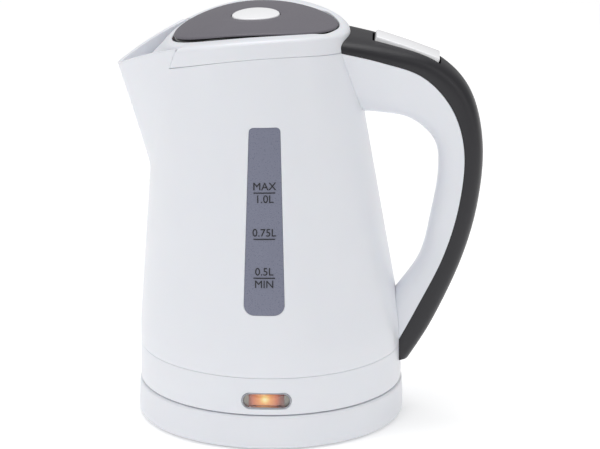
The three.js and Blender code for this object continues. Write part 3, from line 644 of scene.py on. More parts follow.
@dataclass
class Outline:
    """The leaning, tapered jug with its spout, and the arc that runs over its top."""

    radius: float = 71.0
    taper: float = 0.1229
    lean: float = 0.0531
    taper_start: float = 52.0
    taper_ease: float = 4.0
    crown_x: float = 5.2
    crown_z: float = 54.6
    crown_radius: float = 165.0
    collar_band: float = 9.5
    spout_start: float = 134.0
    spout_top: float = 196.0
    spout_x: float = -61.2
    spout_rake: float = 0.36
    spout_width: float = 28.0
    spout_nose: float = 0.045
    spout_extra: float = 3.0
    crease_soft: float = 2.2
    crease_fall: float = 0.45
    seam: float = field(init=False)

    def __post_init__(self) -> None:
        """Take the jug's radius and lower seam from the frame."""
        high = mm_box("skirt_cover")[1]
        self.radius = high.x
        self.seam = high.z + 0.2

    def fall(self, z: float) -> float:
        """The height over which the taper has run, which sets in softly."""
        rise = z - (self.taper_start - self.taper_ease)
        if rise <= 0:
            return 0.0
        return rise**2 / (4 * self.taper_ease) if rise < 2 * self.taper_ease else rise - self.taper_ease

    def reach(self, z: float) -> float:
        """The radius of the round wall at a height."""
        return self.radius - self.taper * self.fall(z)

    def centre(self, z: float) -> float:
        """The X of the round wall's centre at a height."""
        return -self.lean * self.fall(z)

    def crown(self, x: float, drop: float = 0.0) -> float:
        """The height of the top arc at an X, less a drop."""
        return self.crown_z + math.sqrt((self.crown_radius - drop) ** 2 - (x - self.crown_x) ** 2)

    def half_spout(self, z: float) -> float:
        """Half the spout's width where it leaves the round wall."""
        share = max(0.0, z - self.spout_start) / (self.spout_top - self.spout_start)
        return self.spout_width * share**0.7

    def crease(self, z: float) -> float:
        """The angle of that edge, seen from the jug's centre."""
        return max(0.07, math.asin(self.half_spout(z) / self.reach(z)))

    def wall_reach(self, angle: float, z: float) -> float:
        """The outer wall's distance from the centre, at an angle from the spout's direction."""
        radius = self.reach(z)
        half = self.half_spout(z)
        angle = math.remainder(angle, TURN)
        tip = self.centre(z) - (self.spout_x - self.spout_rake * (z - self.spout_start)) + self.spout_extra
        back = math.sqrt(radius**2 - half**2)
        clear = tip - radius**2 / back
        if half <= 0 or clear <= 0:
            return radius
        soft = math.hypot(angle, self.spout_nose)
        past = max(0.0, soft - self.crease(z))
        if past > 0:
            flat = radius * (1 - self.crease_fall * past)
        else:
            flat = tip * half / (half * math.cos(soft) + (tip - back) * math.sin(soft))
        gap = radius - flat
        fade = min(1.0, clear / 4) * max(0.0, 1 - 2 * past)
        return (radius + flat + math.hypot(gap, self.crease_soft * fade)) / 2

    def wall(self, angle: float, z: float, inset: float = 0.0) -> Point:
        """A point of the wall with its spout."""
        reach = self.wall_reach(angle, z) - inset
        return self.centre(z) - reach * math.cos(angle), reach * math.sin(angle), z

    def ring(self, angle: float, z: float, inset: float = 0.0) -> Point:
        """A point of the round wall without its spout."""
        reach = self.reach(z) - inset
        return self.centre(z) - reach * math.cos(angle), reach * math.sin(angle), z

    def on_crown(self, angle: float, drop: float, surface: Callable[[float, float], Point]) -> Point:
        """The point of a surface that also lies a drop below the top arc."""
        z = 200.0
        for _ in range(12):
            z = self.crown(surface(angle, z)[0], drop)
        return surface(angle, z)

    def front(self, x: float, z: float, inset: float = 0.0) -> float:
        """The Y of the wall's front at a place."""
        reach = self.reach(z) - inset
        return -math.sqrt(max(0.0, reach**2 - (x - self.centre(z)) ** 2))


@dataclass
class LidSize:
    """The lid's oval and its domed top."""

    x: float = -7.8
    half_x: float = 43.9
    half_y: float = 38.4
    dome: float = 1.9
    gap: float = 0.75
    button: float = 12.8
    hole: float = 13.25

    def oval(self, angle: float, grow: float = 0.0, share: float = 1.0) -> Pair:
        """A point of the lid's oval at an angle from the spout's direction."""
        return (
            self.x - (self.half_x + grow) * share * math.cos(angle),
            (self.half_y + grow) * share * math.sin(angle),
        )


# ---------------------------------------------------------------- sub-assemblies


@dataclass
class PowerBase:
    """The round base that the jug stands on, with its hub, socket, underside and feet."""

    wall: float = 2.4
    edge: float = 1.6
    foot_round: float = 0.8
    screw_head: float = 3.0

    def build(self) -> None:
        """Make and mount every piece of the base."""
        self._cover()
        self._underside()
        self._feet()
        self._screws()
        self._socket()
        self._gland()

    def _cover(self) -> None:
        """Turn the white cover, with its rounded shoulder and raised hub."""
        low, high = mm_box("base_cover")
        radius, top, hub_top = high.x, 19.1, high.z
        outline = fillet(
            [
                (radius - self.wall, low.z, 0),
                (radius - 0.2, low.z, 1.0),
                (radius, 5.0, 6),
                (radius - 0.6, top, self.edge),
                (66.6, top, 0.5),
                (66.0, 17.4, 0.8),
                (24.2, 17.4, 1.6),
                (21.6, hub_top, 1.0),
                (18.0, hub_top, 0.5),
                (18.0, 12.0, 0),
                (19.8, 12.0, 0),
                (19.8, 15.2, 0),
                (64.6, 15.2, 0),
                (65.4, 16.4, 0),
                (68.0, 16.4, 0),
                (radius - self.wall, 14.0, 0),
            ],
            5,
        )
        cover = turned("base_cover_moulding", outline, 160)
        notch = block("gland_notch", (-4.1, 60, 5.3), (4.1, 80, 13.5))
        round_edges(notch, 3.9, 6)
        combine(cover, notch)
        shade(cover)
        fit(cover, Body.POWER_BASE, WHITE, "base_cover")

    def _underside(self) -> None:
        """Turn the plate under the base with its moulded rings, and cut its pockets."""
        low, high = mm_box("base_plate")
        radius = high.x
        outline = [(0, low.z), (14, low.z)]
        for ring in (18.0, 30.0, 64.0):
            outline += [(ring, low.z), (ring + 0.5, low.z + 0.8)]
            outline += [(ring + 1.7, low.z + 0.8), (ring + 2.2, low.z)]
        outline += [(radius - 0.5, low.z), (radius, low.z + 0.5), (radius, high.z), (0, high.z)]
        plate = turned("base_plate_moulding", outline, 128, closed=False)
        for k in range(1, 4):
            first, last = mm_box(f"base_screw_{k}")
            middle = (first + last) / 2
            deselect()
            bpy.ops.mesh.primitive_cylinder_add(
                vertices=32, radius=3.7 * MM, depth=4 * MM, location=(middle.x * MM, middle.y * MM, 1.2 * MM)
            )
            well = named("screw_well")
            bpy.ops.object.transform_apply(location=True, rotation=True, scale=True)
            combine(plate, well)
        shade(plate)
        fit(plate, Body.POWER_BASE, WHITE, "base_plate")

    def _feet(self) -> None:
        """Turn one rubber foot and copy it to the four places."""
        high = mm_box("base_foot_1")[1]
        low = mm_box("base_foot_1")[0]
        radius = (high.x - low.x) / 2
        outline = fillet(
            [(0, 0, 0), (radius, 0, self.foot_round), (radius, high.z, 0.2), (0, high.z, 0)], 5
        )
        pattern = turned("foot_pattern", outline, 48, closed=False)
        for k in range(1, 5):
            first, last = mm_box(f"base_foot_{k}")
            middle = (first + last) / 2
            foot = copied(pattern, f"rubber_foot_{k}")
            shift(foot, (middle.x, middle.y, 0))
            shade(foot)
            fit(foot, Body.POWER_BASE, RUBBER, f"base_foot_{k}")
        bpy.data.objects.remove(pattern, do_unlink=True)

    def _screws(self) -> None:
        """Turn one cross-head screw, cut its cross and copy it to all six places."""
        for kind, body in (("base", Body.POWER_BASE), ("skirt", Body.JUG)):
            low, high = mm_box(f"{kind}_screw_1")
            head = low.z
            outline = fillet(
                [(0, head, 0), (self.screw_head, head, 0.7), (self.screw_head, head + 1.3, 0.1),
                 (1.4, head + 1.3, 0), (1.4, high.z - 1.5, 0), (0, high.z, 0)],
                4,
            )
            pattern = turned("screw_pattern", outline, 32, closed=False)
            for size in ((1.9, 0.35), (0.35, 1.9)):
                arm = block("cross_arm", (-size[0], -size[1], head - 1), (size[0], size[1], head + 0.7))
                combine(pattern, arm)
            for k in range(1, 4):
                first, last = mm_box(f"{kind}_screw_{k}")
                middle = (first + last) / 2
                screw = copied(pattern, f"{kind}_screw_turned_{k}")
                turn(screw, 0.5 * k, "Z", (0, 0, 0))
                shift(screw, (middle.x, middle.y, 0))
                shade(screw)
                fit(screw, body, ZINC, f"{kind}_screw_{k}")
            bpy.data.objects.remove(pattern, do_unlink=True)

    def _socket(self) -> None:
        """Turn the black socket with its ring slot and centre bore, and its contacts."""
        low, high = mm_box("base_socket")
        outline = fillet(
            [(0, 11.0, 0), (3.6, 11.0, 0), (3.6, high.z, 0.4), (7.2, high.z, 0.4), (7.2, 11.0, 0),
             (11.0, 11.0, 0), (11.0, high.z, 0.4), (17.4, high.z, 0.6), (17.4, 11.4, 0), (high.x, 11.4, 0), (high.x, low.z, 0),
             (0, low.z, 0)],
            4,
        )
        socket = turned("base_socket_moulding", outline, 96, closed=False)
        shade(socket)
        fit(socket, Body.POWER_BASE, NYLON, "base_socket")
        for name, inner in (("socket_centre_contact", 2.7), ("socket_ring_contact", 10.1)):
            first, last = mm_box(name)
            sleeve = turned(
                f"{name}_sleeve",
                [(inner, first.z), (inner, last.z), (inner + 0.3, last.z + 0.2), (inner + 0.6, last.z),
                 (inner + 0.6, first.z)],
                64,
            )
            shade(sleeve)
            fit(sleeve, Body.POWER_BASE, BRASS, name)

    def _gland(self) -> None:
        """Turn the ring that lines the cord's outlet, and lay it along Y."""
        low, high = mm_box("cord_gland")
        middle = (low + high) / 2
        hole, neck, flange = 2.6, 3.8, (high.x - low.x) / 2
        outline = fillet(
            [(hole, low.y, 0), (flange, low.y, 0), (flange, low.y + 2, 0), (neck, low.y + 2, 0),
             (neck, high.y - 0.8, 0), (flange, high.y - 0.8, 0), (flange, high.y, 0.3), (hole, high.y, 0.3)],
            3,
        )
        gland = turned("cord_gland_ring", outline, 48)
        turn(gland, -math.pi / 2, "X", (0, 0, 0))
        shift(gland, (middle.x, 0, middle.z))
        shade(gland)
        fit(gland, Body.POWER_BASE, NYLON, "cord_gland")


@dataclass
class JugPlug:
    """The round connector under the jug."""

    def build(self) -> None:
        """Turn the housing, the pin and the ring."""
        low, high = mm_box("plug_housing")
        radius = high.x
        outline = fillet(
            [(3, low.z, 0), (7.9, low.z, 0.3), (7.9, 30, 0), (10, 30, 0), (10, low.z, 0.3),
             (radius, low.z, 1.2), (radius, 33.6, 0.4), (14, 33.6, 0), (14, high.z, 0), (3, high.z, 0)],
            5,
        )
        housing = turned("plug_housing_moulding", outline, 96)
        shade(housing)
        fit(housing, Body.PLUG, NYLON, "plug_housing")
        first, last = mm_box("plug_pin")
        pin_outline = [(0, first.z), (1.1, first.z + 0.2), (1.9, first.z + 1.2)]
        pin_outline += [(2.2, first.z + 2.4), (2.2, last.z), (0, last.z)]
        pin = turned("plug_pin_turned", pin_outline, 48, closed=False)
        shade(pin)
        fit(pin, Body.PLUG, BRASS, "plug_pin")
        first, last = mm_box("plug_ring")
        ring = turned(
            "plug_ring_turned",
            [(8.2, first.z + 0.5), (8.6, first.z), (9.2, first.z), (9.6, first.z + 0.5),
             (9.6, last.z), (8.2, last.z)],
            96,
        )
        shade(ring)
        fit(ring, Body.PLUG, BRASS, "plug_ring")


@dataclass
class WaterWindow:
    """The long window in the jug's front, with its printed level marks."""

    x: float = -1.2
    top: float = 174.0
    bottom: float = 74.5
    half_top: float = 8.15
    half_bottom: float = 10.9
    round_top: float = 2.4
    round_bottom: float = 5.4
    letter: float = 4.5
    bar: float = 11.4
    marks: tuple[tuple[float, str, str], ...] = (
        (139.7, "MAX", "1.0L"),
        (115.2, "0.75L", ""),
        (94.5, "0.5L", "MIN"),
    )

    def tool(self, name: str, grow: float) -> bpy.types.Object:
        """Extend the window's rounded outline, grown by a margin, through the jug's front."""
        x, top, bottom = self.x, self.top + grow, self.bottom - grow
        high, low = self.half_top + grow, self.half_bottom + grow
        corners = [
            (x, bottom, 0),
            (x + low, bottom, self.round_bottom + grow),
            (x + high, top, self.round_top + grow),
            (x - high, top, self.round_top + grow),
            (x - low, bottom, self.round_bottom + grow),
            (x, bottom, 0),
        ]
        return prism(name, fillet(corners, 10), -90, -30)

    def build(self, outline: Outline) -> None:
        """Make the pane and print the marks on it."""
        inset, thick = 0.12, 2.0

        def place(u: float, v: float) -> Point:
            x = self.x + (2 * u - 1) * 16
            z = 66 + v * 116
            return x, outline.front(x, z, inset), z

        pane = formed("window_pane", 64, 24, place)
        face_front(pane)
        modify(pane, "SOLIDIFY", thickness=thick * MM, offset=-1.0)
        combine(pane, self.tool("pane_outline", 0), "INTERSECT")
        round_edges(pane, 0.3, 3, 50)
        shade(pane, 30)
        fit(pane, Body.JUG, SMOKE, "water_window")
        for k, (height, above, below) in enumerate(self.marks, 1):
            middle = self.x
            self._bar(outline, f"level_bar_{k}", middle, height)
            self._word(outline, f"level_upper_{k}", above, middle, height + 1.0 + self.letter / 2)
            if below:
                self._word(outline, f"level_lower_{k}", below, middle, height - 1.2 - self.letter / 2)

    def _bar(self, outline: Outline, name: str, x: float, z: float) -> None:
        """Print a bar across the window."""

        def place(u: float, v: float) -> Point:
            here, up = x + (u - 0.5) * self.bar, z + (v - 0.5) * 0.55
            return here, outline.front(here, up, -0.02), up

        bar = formed(name, 16, 1, place)
        modify(bar, "SOLIDIFY", thickness=0.12 * MM, offset=0.0)
        fit(bar, Body.JUG, INK)

    def _word(self, outline: Outline, name: str, text: str, x: float, z: float) -> None:
        """Print a level's name, wrapped round the jug's front."""
        deselect()
        bpy.ops.object.text_add()
        word = bpy.context.object
        word.name = name
        word.data.body = text
        word.data.align_x = "CENTER"
        word.data.align_y = "CENTER"
        word.data.size = self.letter * 1.28 * MM
        word.data.extrude = 0.05 * MM
        bpy.ops.object.convert(target="MESH")
        word.data.name = name
        for vertex in word.data.vertices:
            here, up = x + vertex.co.x / MM, z + vertex.co.y / MM
            lift = vertex.co.z / MM
            vertex.co = Vector((here, outline.front(here, up, -0.02) - lift, up)) * MM
        close_up(word)
        fit(word, Body.JUG, INK)


@dataclass
class Lamp:
    """The oval lamp in the skirt: a plated frame, a clear lens and the lit diffuser."""

    z: float = 27.6
    length: float = 26.6
    height: float = 9.0
    frame: float = 0.9

    def stadium(self, share: float, grow: float) -> Pair:
        """A point round the lamp's outline."""
        radius, straight = self.height / 2 + grow, (self.length - self.height) / 2
        angle = share * TURN
        side = straight if math.cos(angle) >= 0 else -straight
        return side + radius * math.cos(angle), self.z + radius * math.sin(angle)

    def tool(self, name: str, grow: float) -> bpy.types.Object:
        """Extend the outline through the skirt, for cutting."""
        return prism(name, [self.stadium(k / 64, grow) for k in range(65)], -82, -52)

    def build(self, outline: Outline) -> None:
        """Make the frame, the lens and the diffuser."""
        section = [(0.0, 1.6), (0.0, -0.12), (0.22, -0.3), (0.6, -0.22)]
        section += [(self.frame, 0.25), (self.frame, 1.6), (0.0, 1.6)]

        def frame_place(u: float, v: float) -> Point:
            inward, depth = between(section, v)
            x, z = self.stadium(u, -inward)
            return x, outline.front(x, 30, depth), z

        frame = formed("lamp_frame", 96, 20, frame_place)
        shade(frame, 40)
        fit(frame, Body.JUG, CHROME, "lamp_bezel")

        def lens_place(u: float, v: float) -> Point:
            edge_x, edge_z = self.stadium(u, -self.frame - 0.02)
            x = edge_x * v if abs(edge_x) > 1e-9 else 0.0
            z = self.z + (edge_z - self.z) * v
            return x, outline.front(x, 30, 0.55 - 0.5 * (1 - v**4)), z

        lens = formed("lamp_lens_moulding", 96, 10, lens_place)
        face_front(lens)
        modify(lens, "SOLIDIFY", thickness=0.9 * MM, offset=-1.0)
        close_up(lens)
        shade(lens, 40)
        fit(lens, Body.JUG, CLEAR, "lamp_lens")
        low, high = mm_box("lamp_diffuser")
        bulb_low, bulb_high = mm_box("neon_bulb")
        bulb = (bulb_low + bulb_high) / 2
        glow = Glow(
            "amber_polycarbonate_lit", "amber_light", "5A2C1C", "6A3826", 0.3, Pattern.GRAINED, 1.3, 0.25,
            bulb=(bulb.x + 0.7, low.y + 0.4, bulb.z + 0.4),
        )

        def diffuser_place(u: float, v: float) -> Point:
            x = low.x + 0.1 + (high.x - low.x - 0.2) * u
            z = low.z - 0.5 + (high.z - low.z + 1.0) * v
            return x, outline.front(x, 30, 2.0), z

        diffuser = formed("lamp_diffuser_moulding", 24, 8, diffuser_place)
        face_front(diffuser)
        modify(diffuser, "SOLIDIFY", thickness=2.2 * MM, offset=-1.0)
        close_up(diffuser)
        round_edges(diffuser, 0.3, 2)
        shade(diffuser)
        fit(diffuser, Body.JUG, glow, "lamp_diffuser")
        reflector = block("lamp_reflector", (-13.0, -67.6, self.z - 4.4), (13.0, -66.6, self.z + 4.4))
        round_edges(reflector, 0.4, 2)
        fit(reflector, Body.JUG, PALE_NYLON, "lamp_holder")


@dataclass
class Jug:
    """The white jug: its wall with the spout, the collar round the lid and the skirt round its foot."""

    wall: float = 2.4
    columns: int = 208
    rows: int = 96
    spout_part: float = 0.25
    past_crease: float = 0.012
    rim: float = 1.9
    collar_inset: float = 3.4
    hinge_room: float = 3.5
    lean_room: float = 0.1
    rim_round: float = 2.4
    channel_share: float = 0.72
    _tops: dict[float, float] = field(default_factory=dict)

    def build(self, outline: Outline, lid: "LidSize", window: WaterWindow, lamp: Lamp) -> None:
        """Make the three white mouldings.

        Args:
            outline: The jug's outline.
            lid: The lid's oval.
            window: The water window, for its opening.
            lamp: The lamp, for its opening.
        """
        self._shell(outline, window)
        self._collar(outline, lid)
        self._skirt(lamp)

    def _angle(self, outline: Outline, u: float, z: float, step: float = 0.004) -> float:
        """The angle of a column at a height. The first columns cover the spout, the others the rest."""
        edge = outline.crease(z) + self.past_crease
        if u <= self.spout_part + 1e-6:
            return (2 * u / self.spout_part - 1) * edge
        start = edge + step
        share = (u - self.spout_part) / (1 - self.spout_part)
        return start + share * (TURN - 2 * start)

    def _top(self, outline: Outline, u: float) -> float:
        """The height at which a column of the wall meets the crown."""
        key = round(u, 6)
        if key not in self._tops:
            z = 200.0
            for _ in range(12):
                z = outline.crown(outline.wall(self._angle(outline, u, z), z)[0])
            self._tops[key] = z
        return self._tops[key]

    def _shell(self, outline: Outline, window: WaterWindow) -> None:
        """Press the wall, give it its thickness, and cut the collar's room and the window's opening."""

        def place(u: float, v: float) -> Point:
            share = 0.0 if u > 1 - 1e-6 else u
            z = outline.seam + v * (self._top(outline, share) - outline.seam)
            return outline.wall(self._angle(outline, share, z), z)

        shell = formed("jug_wall", self.columns, self.rows, place)
        modify(shell, "SOLIDIFY", thickness=self.wall * MM, offset=-1.0)
        combine(shell, self._collar_room(outline))
        combine(shell, window.tool("window_opening", 0.13))
        round_edges(shell, 0.18, 2, 62)
        shade(shell, 40)
        fit(shell, Body.JUG, WHITE, "jug_shell")

    def _collar_room(self, outline: Outline) -> bpy.types.Object:
        """Form the band over the wall's seam, from crease to crease, that the collar takes up."""
        levels, columns = 10, 120

        def place(u: float, v: float) -> Point:
            column, row = round(u * (columns + 2)), round(v * (2 * levels + 2))
            at_end = column in (0, columns + 2)
            share = min(max(column - 1, 0), columns) / columns
            at = self.spout_part + SLIVER + share * (1 - self.spout_part - SLIVER)
            inner = levels < row <= 2 * levels + 1
            level = (2 * levels + 1 - row if inner else row) % (2 * levels + 2)
            drop = outline.collar_band - (outline.collar_band + 4) * level / levels
            inset = 8.0 if inner and not at_end else -6.0
            return outline.on_crown(
                at, drop, lambda a, z: outline.ring(self._angle(outline, a, z, 0.001), z, inset)
            )

        return formed("collar_room", columns + 2, 2 * levels + 2, place)

    def _opening(self, lid: "LidSize", angle: float, grow: float) -> Pair:
        """The collar's opening, with room for the lid to swing at its front and by its hinge."""
        x, y = lid.oval(angle, lid.gap + grow)
        widen = self.hinge_room * math.exp(-(((x - 30) / 4.5) ** 2))
        front = self.lean_room * max(0.0, math.cos(angle))
        return x - front, y + math.copysign(widen, y) * min(1.0, abs(y) / 8)

    def _collar(self, outline: Outline, lid: "LidSize") -> None:
        """Press the hollow rim between the lid's opening and the jug's wall."""
        drops = outline.collar_band - 0.14
        middle = outline.crown(-40)

        def section(u: float) -> list[Point]:
            at_spout = u <= self.spout_part + 1e-6
            angle = self._angle(outline, u, middle)
            nearer = min(1.0, 6 * (0.5 - abs(u / self.spout_part - 0.5))) if at_spout else 0.0
            reach = outline.wall_reach(angle, 203) - self.wall - outline.reach(203) + self.collar_inset
            slope = self.channel_share * max(0.0, reach - 0.8) * nearer

            def outer(drop: float, inset: float) -> Point:
                if not at_spout:
                    return outline.on_crown(
                        u, drop, lambda a, z: outline.wall(self._angle(outline, a, z, 0.002), z, inset)
                    )
                out = slope * (max(0.0, drop - 0.4) / (drops - 0.4)) ** 1.25 - self.collar_inset
                return outline.on_crown(
                    u, drop, lambda a, z: outline.ring(self._angle(outline, a, z), z, inset - out)
                )

            points = [outer(drops, 0.15), outer(drops - 0.15, 0)]
            points += [outer(self.rim + (drops - 0.15 - self.rim) * k / 8, 0) for k in range(7, 0, -1)]
            for step in range(13):
                turn_by = math.pi / 2 * step / 12
                inset = self.rim_round * (1 - math.cos(turn_by))
                points.append(outer(self.rim * (1 - math.sin(turn_by)) + 0.1, inset))
            inner_side = (
                (1.5, 0.1), (0.9, 0.14), (0.45, 0.3), (0.12, 0.7), (0.0, 1.2), (0.0, 6.0),
                (0.0, 14.4), (1.2, 14.4), (1.2, 6.0), (1.6, 3.4),
            )
            for grow, drop in inner_side:
                x, y = self._opening(lid, angle, grow)
                points.append((x, y, outline.crown(x, drop)))
            points += [outer(4.6, self.wall + 0.2), outer(drops, self.wall)]
            points.append(points[0])
            return points

        last, start = round(self.spout_part * self.columns), self.spout_part + 1e-5
        spread = (1 - start) / (self.columns - last - 2)
        shares = [k / self.columns for k in range(last + 1)]
        shares += [start + spread * k for k in range(self.columns - last - 1)]
        sections = [section(share) for share in shares]
        lengths = len(sections[0]) - 1

        def place(u: float, v: float) -> Point:
            return sections[round(u * self.columns) % self.columns][round(v * lengths)]

        collar = formed("jug_collar", self.columns, lengths, place)
        shade(collar, 50)
        fit(collar, Body.JUG, WHITE, "collar_ring")

    def _skirt(self, lamp: Lamp) -> None:
        """Turn the skirt with its floor and its well for the plug, and cut the lamp's opening."""
        low, high = mm_box("skirt_cover")
        radius = high.x
        outline = fillet(
            [(radius - self.wall, high.z, 0), (radius - self.wall, 22.4, 1.5), (26, 22.4, 1), (26, 32.4, 0.5),
             (20.6, 32.4, 0), (20.6, 30.6, 0), (24, 30.6, 0.5), (24, 20.4, 0.6), (radius - 4.4, 20.4, 0.5),
             (radius - 3.8, low.z, 0.3), (radius, low.z, 0.7), (radius, high.z, 0.35),
             (radius - self.wall, high.z, 0)],
            5,
        )
        skirt = turned("jug_skirt", outline[:-1], 208)
        for k in range(1, 4):
            first, last = mm_box(f"skirt_screw_{k}")
            middle = (first + last) / 2
            deselect()
            bpy.ops.mesh.primitive_cylinder_add(
                vertices=32, radius=3.5 * MM, depth=8 * MM, location=(middle.x * MM, middle.y * MM, 20 * MM)
            )
            well = named("skirt_screw_well")
            bpy.ops.object.transform_apply(location=True, rotation=True, scale=True)
            combine(skirt, well)
        combine(skirt, lamp.tool("lamp_opening", 0.12))
        shade(skirt, 30)
        fit(skirt, Body.JUG, WHITE, "skirt_cover")


@dataclass
class Handle:
    """The loop handle: a white inner moulding, a charcoal outer grip and the rocker in its top."""

    knots: tuple[tuple[float, ...], ...] = (
        (36.0, 170.3, 31.0, 208.0, 32.0, 214.4, 24.5, 15.0),
        (59.5, 168.8, 58.8, 200.7, 61.0, 208.6, 20.2, 13.0),
        (76.0, 165.1, 81.9, 191.3, 89.2, 199.0, 15.6, 12.0),
        (88.2, 153.2, 97.5, 173.2, 107.0, 181.0, 13.0, 11.2),
        (90.2, 135.9, 104.2, 149.4, 114.2, 152.4, 12.4, 11.0),
        (86.6, 112.8, 101.9, 120.4, 112.0, 119.4, 12.2, 11.0),
        (80.6, 88.6, 93.6, 91.0, 103.4, 87.2, 12.2, 11.0),
        (67.9, 69.5, 79.3, 61.4, 87.6, 51.8, 12.4, 11.6),
        (52.0, 48.4, 65.0, 34.6, 72.4, 27.2, 13.0, 12.6),
    )
    steps: int = 150
    around: int = 40
    proud: float = 0.35
    joint: float = 0.12
    switch_x: float = 73.6
    switch_z: float = 205.3
    switch_tilt: float = 19.2
    end_z: float = 31.4
    rocker_length: float = 36.0
    rocker_width: float = 16.4

    def build(self, outline: Outline) -> None:
        """Make the shell, the grip and the rocker with its recess."""
        self._moulding(outline, "handle_inner_moulding", True)
        self._moulding(outline, "handle_outer_grip", False)
        self._rocker()

    def _section(self, t: float, v: float, inner: bool) -> Point:
        """A point of a half section: from the joint over the crest to the joint, and back along the joint.

        Args:
            t: Share of the way down the handle.
            v: Share of the way round the half section.
            inner: Whether it is the white inner half.

        Returns:
            The point.
        """
        ix, iz, bx, bz, ox, oz, wide, thin = between(self.knots, t)
        crest = Vector((ix, iz)) if inner else Vector((ox, oz))
        seam = Vector((bx, bz))
        reach = crest - seam
        depth = reach.length
        reach.normalize()
        gap = self.joint / 2
        arc = 0.8

        def half(rise: float, share: float) -> float:
            if not inner:
                return wide * 0.985
            bead = self.proud * math.exp(-(((rise - 0.8) / 1.6) ** 2))
            return wide + (thin - wide) * rise / depth + bead * share

        if v > arc:
            rise = gap
            y = half(rise, 1.0) * (1 - 2 * (v - arc) / (1 - arc))
        else:
            phi = -math.pi / 2 + math.pi * v / arc
            power = 2 / (2.9 if inner else 3.1)
            across = math.copysign(abs(math.sin(phi)) ** power, math.sin(phi))
            rise = gap + (depth - gap) * abs(math.cos(phi)) ** power
            y = across * half(rise, across**4)
        spot = seam + reach * rise
        return spot.x, y, spot.y

    def _moulding(self, outline: Outline, name: str, inner: bool) -> None:
        """Loft one half, trim its ends to the jug and cut the switch's recess."""
        piece = formed(name, self.steps, self.around * 2, lambda u, v: self._section(u, v, inner))
        cap_ends(piece)
        combine(piece, self._core(outline))
        combine(piece, block("end_cut", (50, -20, 0), (90, 20, self.end_z)))
        half, side = self.rocker_length / 2, self.rocker_width / 2 + 0.35
        recess = block("switch_recess", (-half - 1.5, -side, -9), (half + 1.3, side, 14))
        round_edges(recess, 0.9, 3)
        self._place_on_top(recess)
        combine(piece, recess)
        shade(piece, 50 if inner else 42)
        fit(piece, Body.JUG, WHITE if inner else GRIP, "handle_shell" if inner else "handle_grip")

    def _core(self, outline: Outline) -> bpy.types.Object:
        """Form the space that the round jug and its skirt take up."""

        def place(u: float, v: float) -> Point:
            z = 10 + v * 216
            return outline.ring(u * TURN, z, -0.06)

        core = formed("jug_core", 144, 108, place)
        cap_ends(core)
        return core

    def _place_on_top(self, piece: bpy.types.Object) -> None:
        """Tilt a piece drawn about the switch's middle, and set it in the handle's top."""
        turn(piece, math.radians(self.switch_tilt), "Y", (0, 0, 0))
        shift(piece, (self.switch_x, 0, self.switch_z))

    def _rocker(self) -> None:
        """Shape the rocker: a slab with a rounded rim whose two halves meet in a faint ridge."""
        half, side = self.rocker_length / 2, self.rocker_width / 2
        rocker = block("rocker_key", (-half, -side, -3.2), (half, side, 1.3))
        pick(rocker)
        bpy.ops.object.mode_set(mode="EDIT")
        bpy.ops.mesh.select_all(action="SELECT")
        bpy.ops.mesh.bisect(plane_co=(0, 0, 0), plane_no=(1, 0, 0))
        bpy.ops.object.mode_set(mode="OBJECT")
        for vertex in rocker.data.vertices:
            if vertex.co.z > 0 and abs(vertex.co.x) > 1 * MM:
                vertex.co.z -= 0.35 * MM
        round_edges(rocker, 0.9, 5, 40)
        for low, high in (((-7, -5.8, -8), (7, 5.8, -2.8)), ((-2, -3, -11.8), (2, 3, -7.6))):
            combine(rocker, block("rocker_web", low, high), "UNION")
        deselect()
        bpy.ops.mesh.primitive_cylinder_add(
            vertices=24,
            radius=1.35 * MM,
            depth=2 * self.rocker_width * MM,
            location=(0, 0, -4.6 * MM),
            rotation=(math.pi / 2, 0, 0),
        )
        bore = named("rocker_bore")
        bpy.ops.object.transform_apply(location=True, rotation=True, scale=True)
        combine(rocker, bore)
        self._place_on_top(rocker)
        shade(rocker, 30)
        fit(rocker, Body.SWITCH, WHITE_KEY, "switch_rocker")


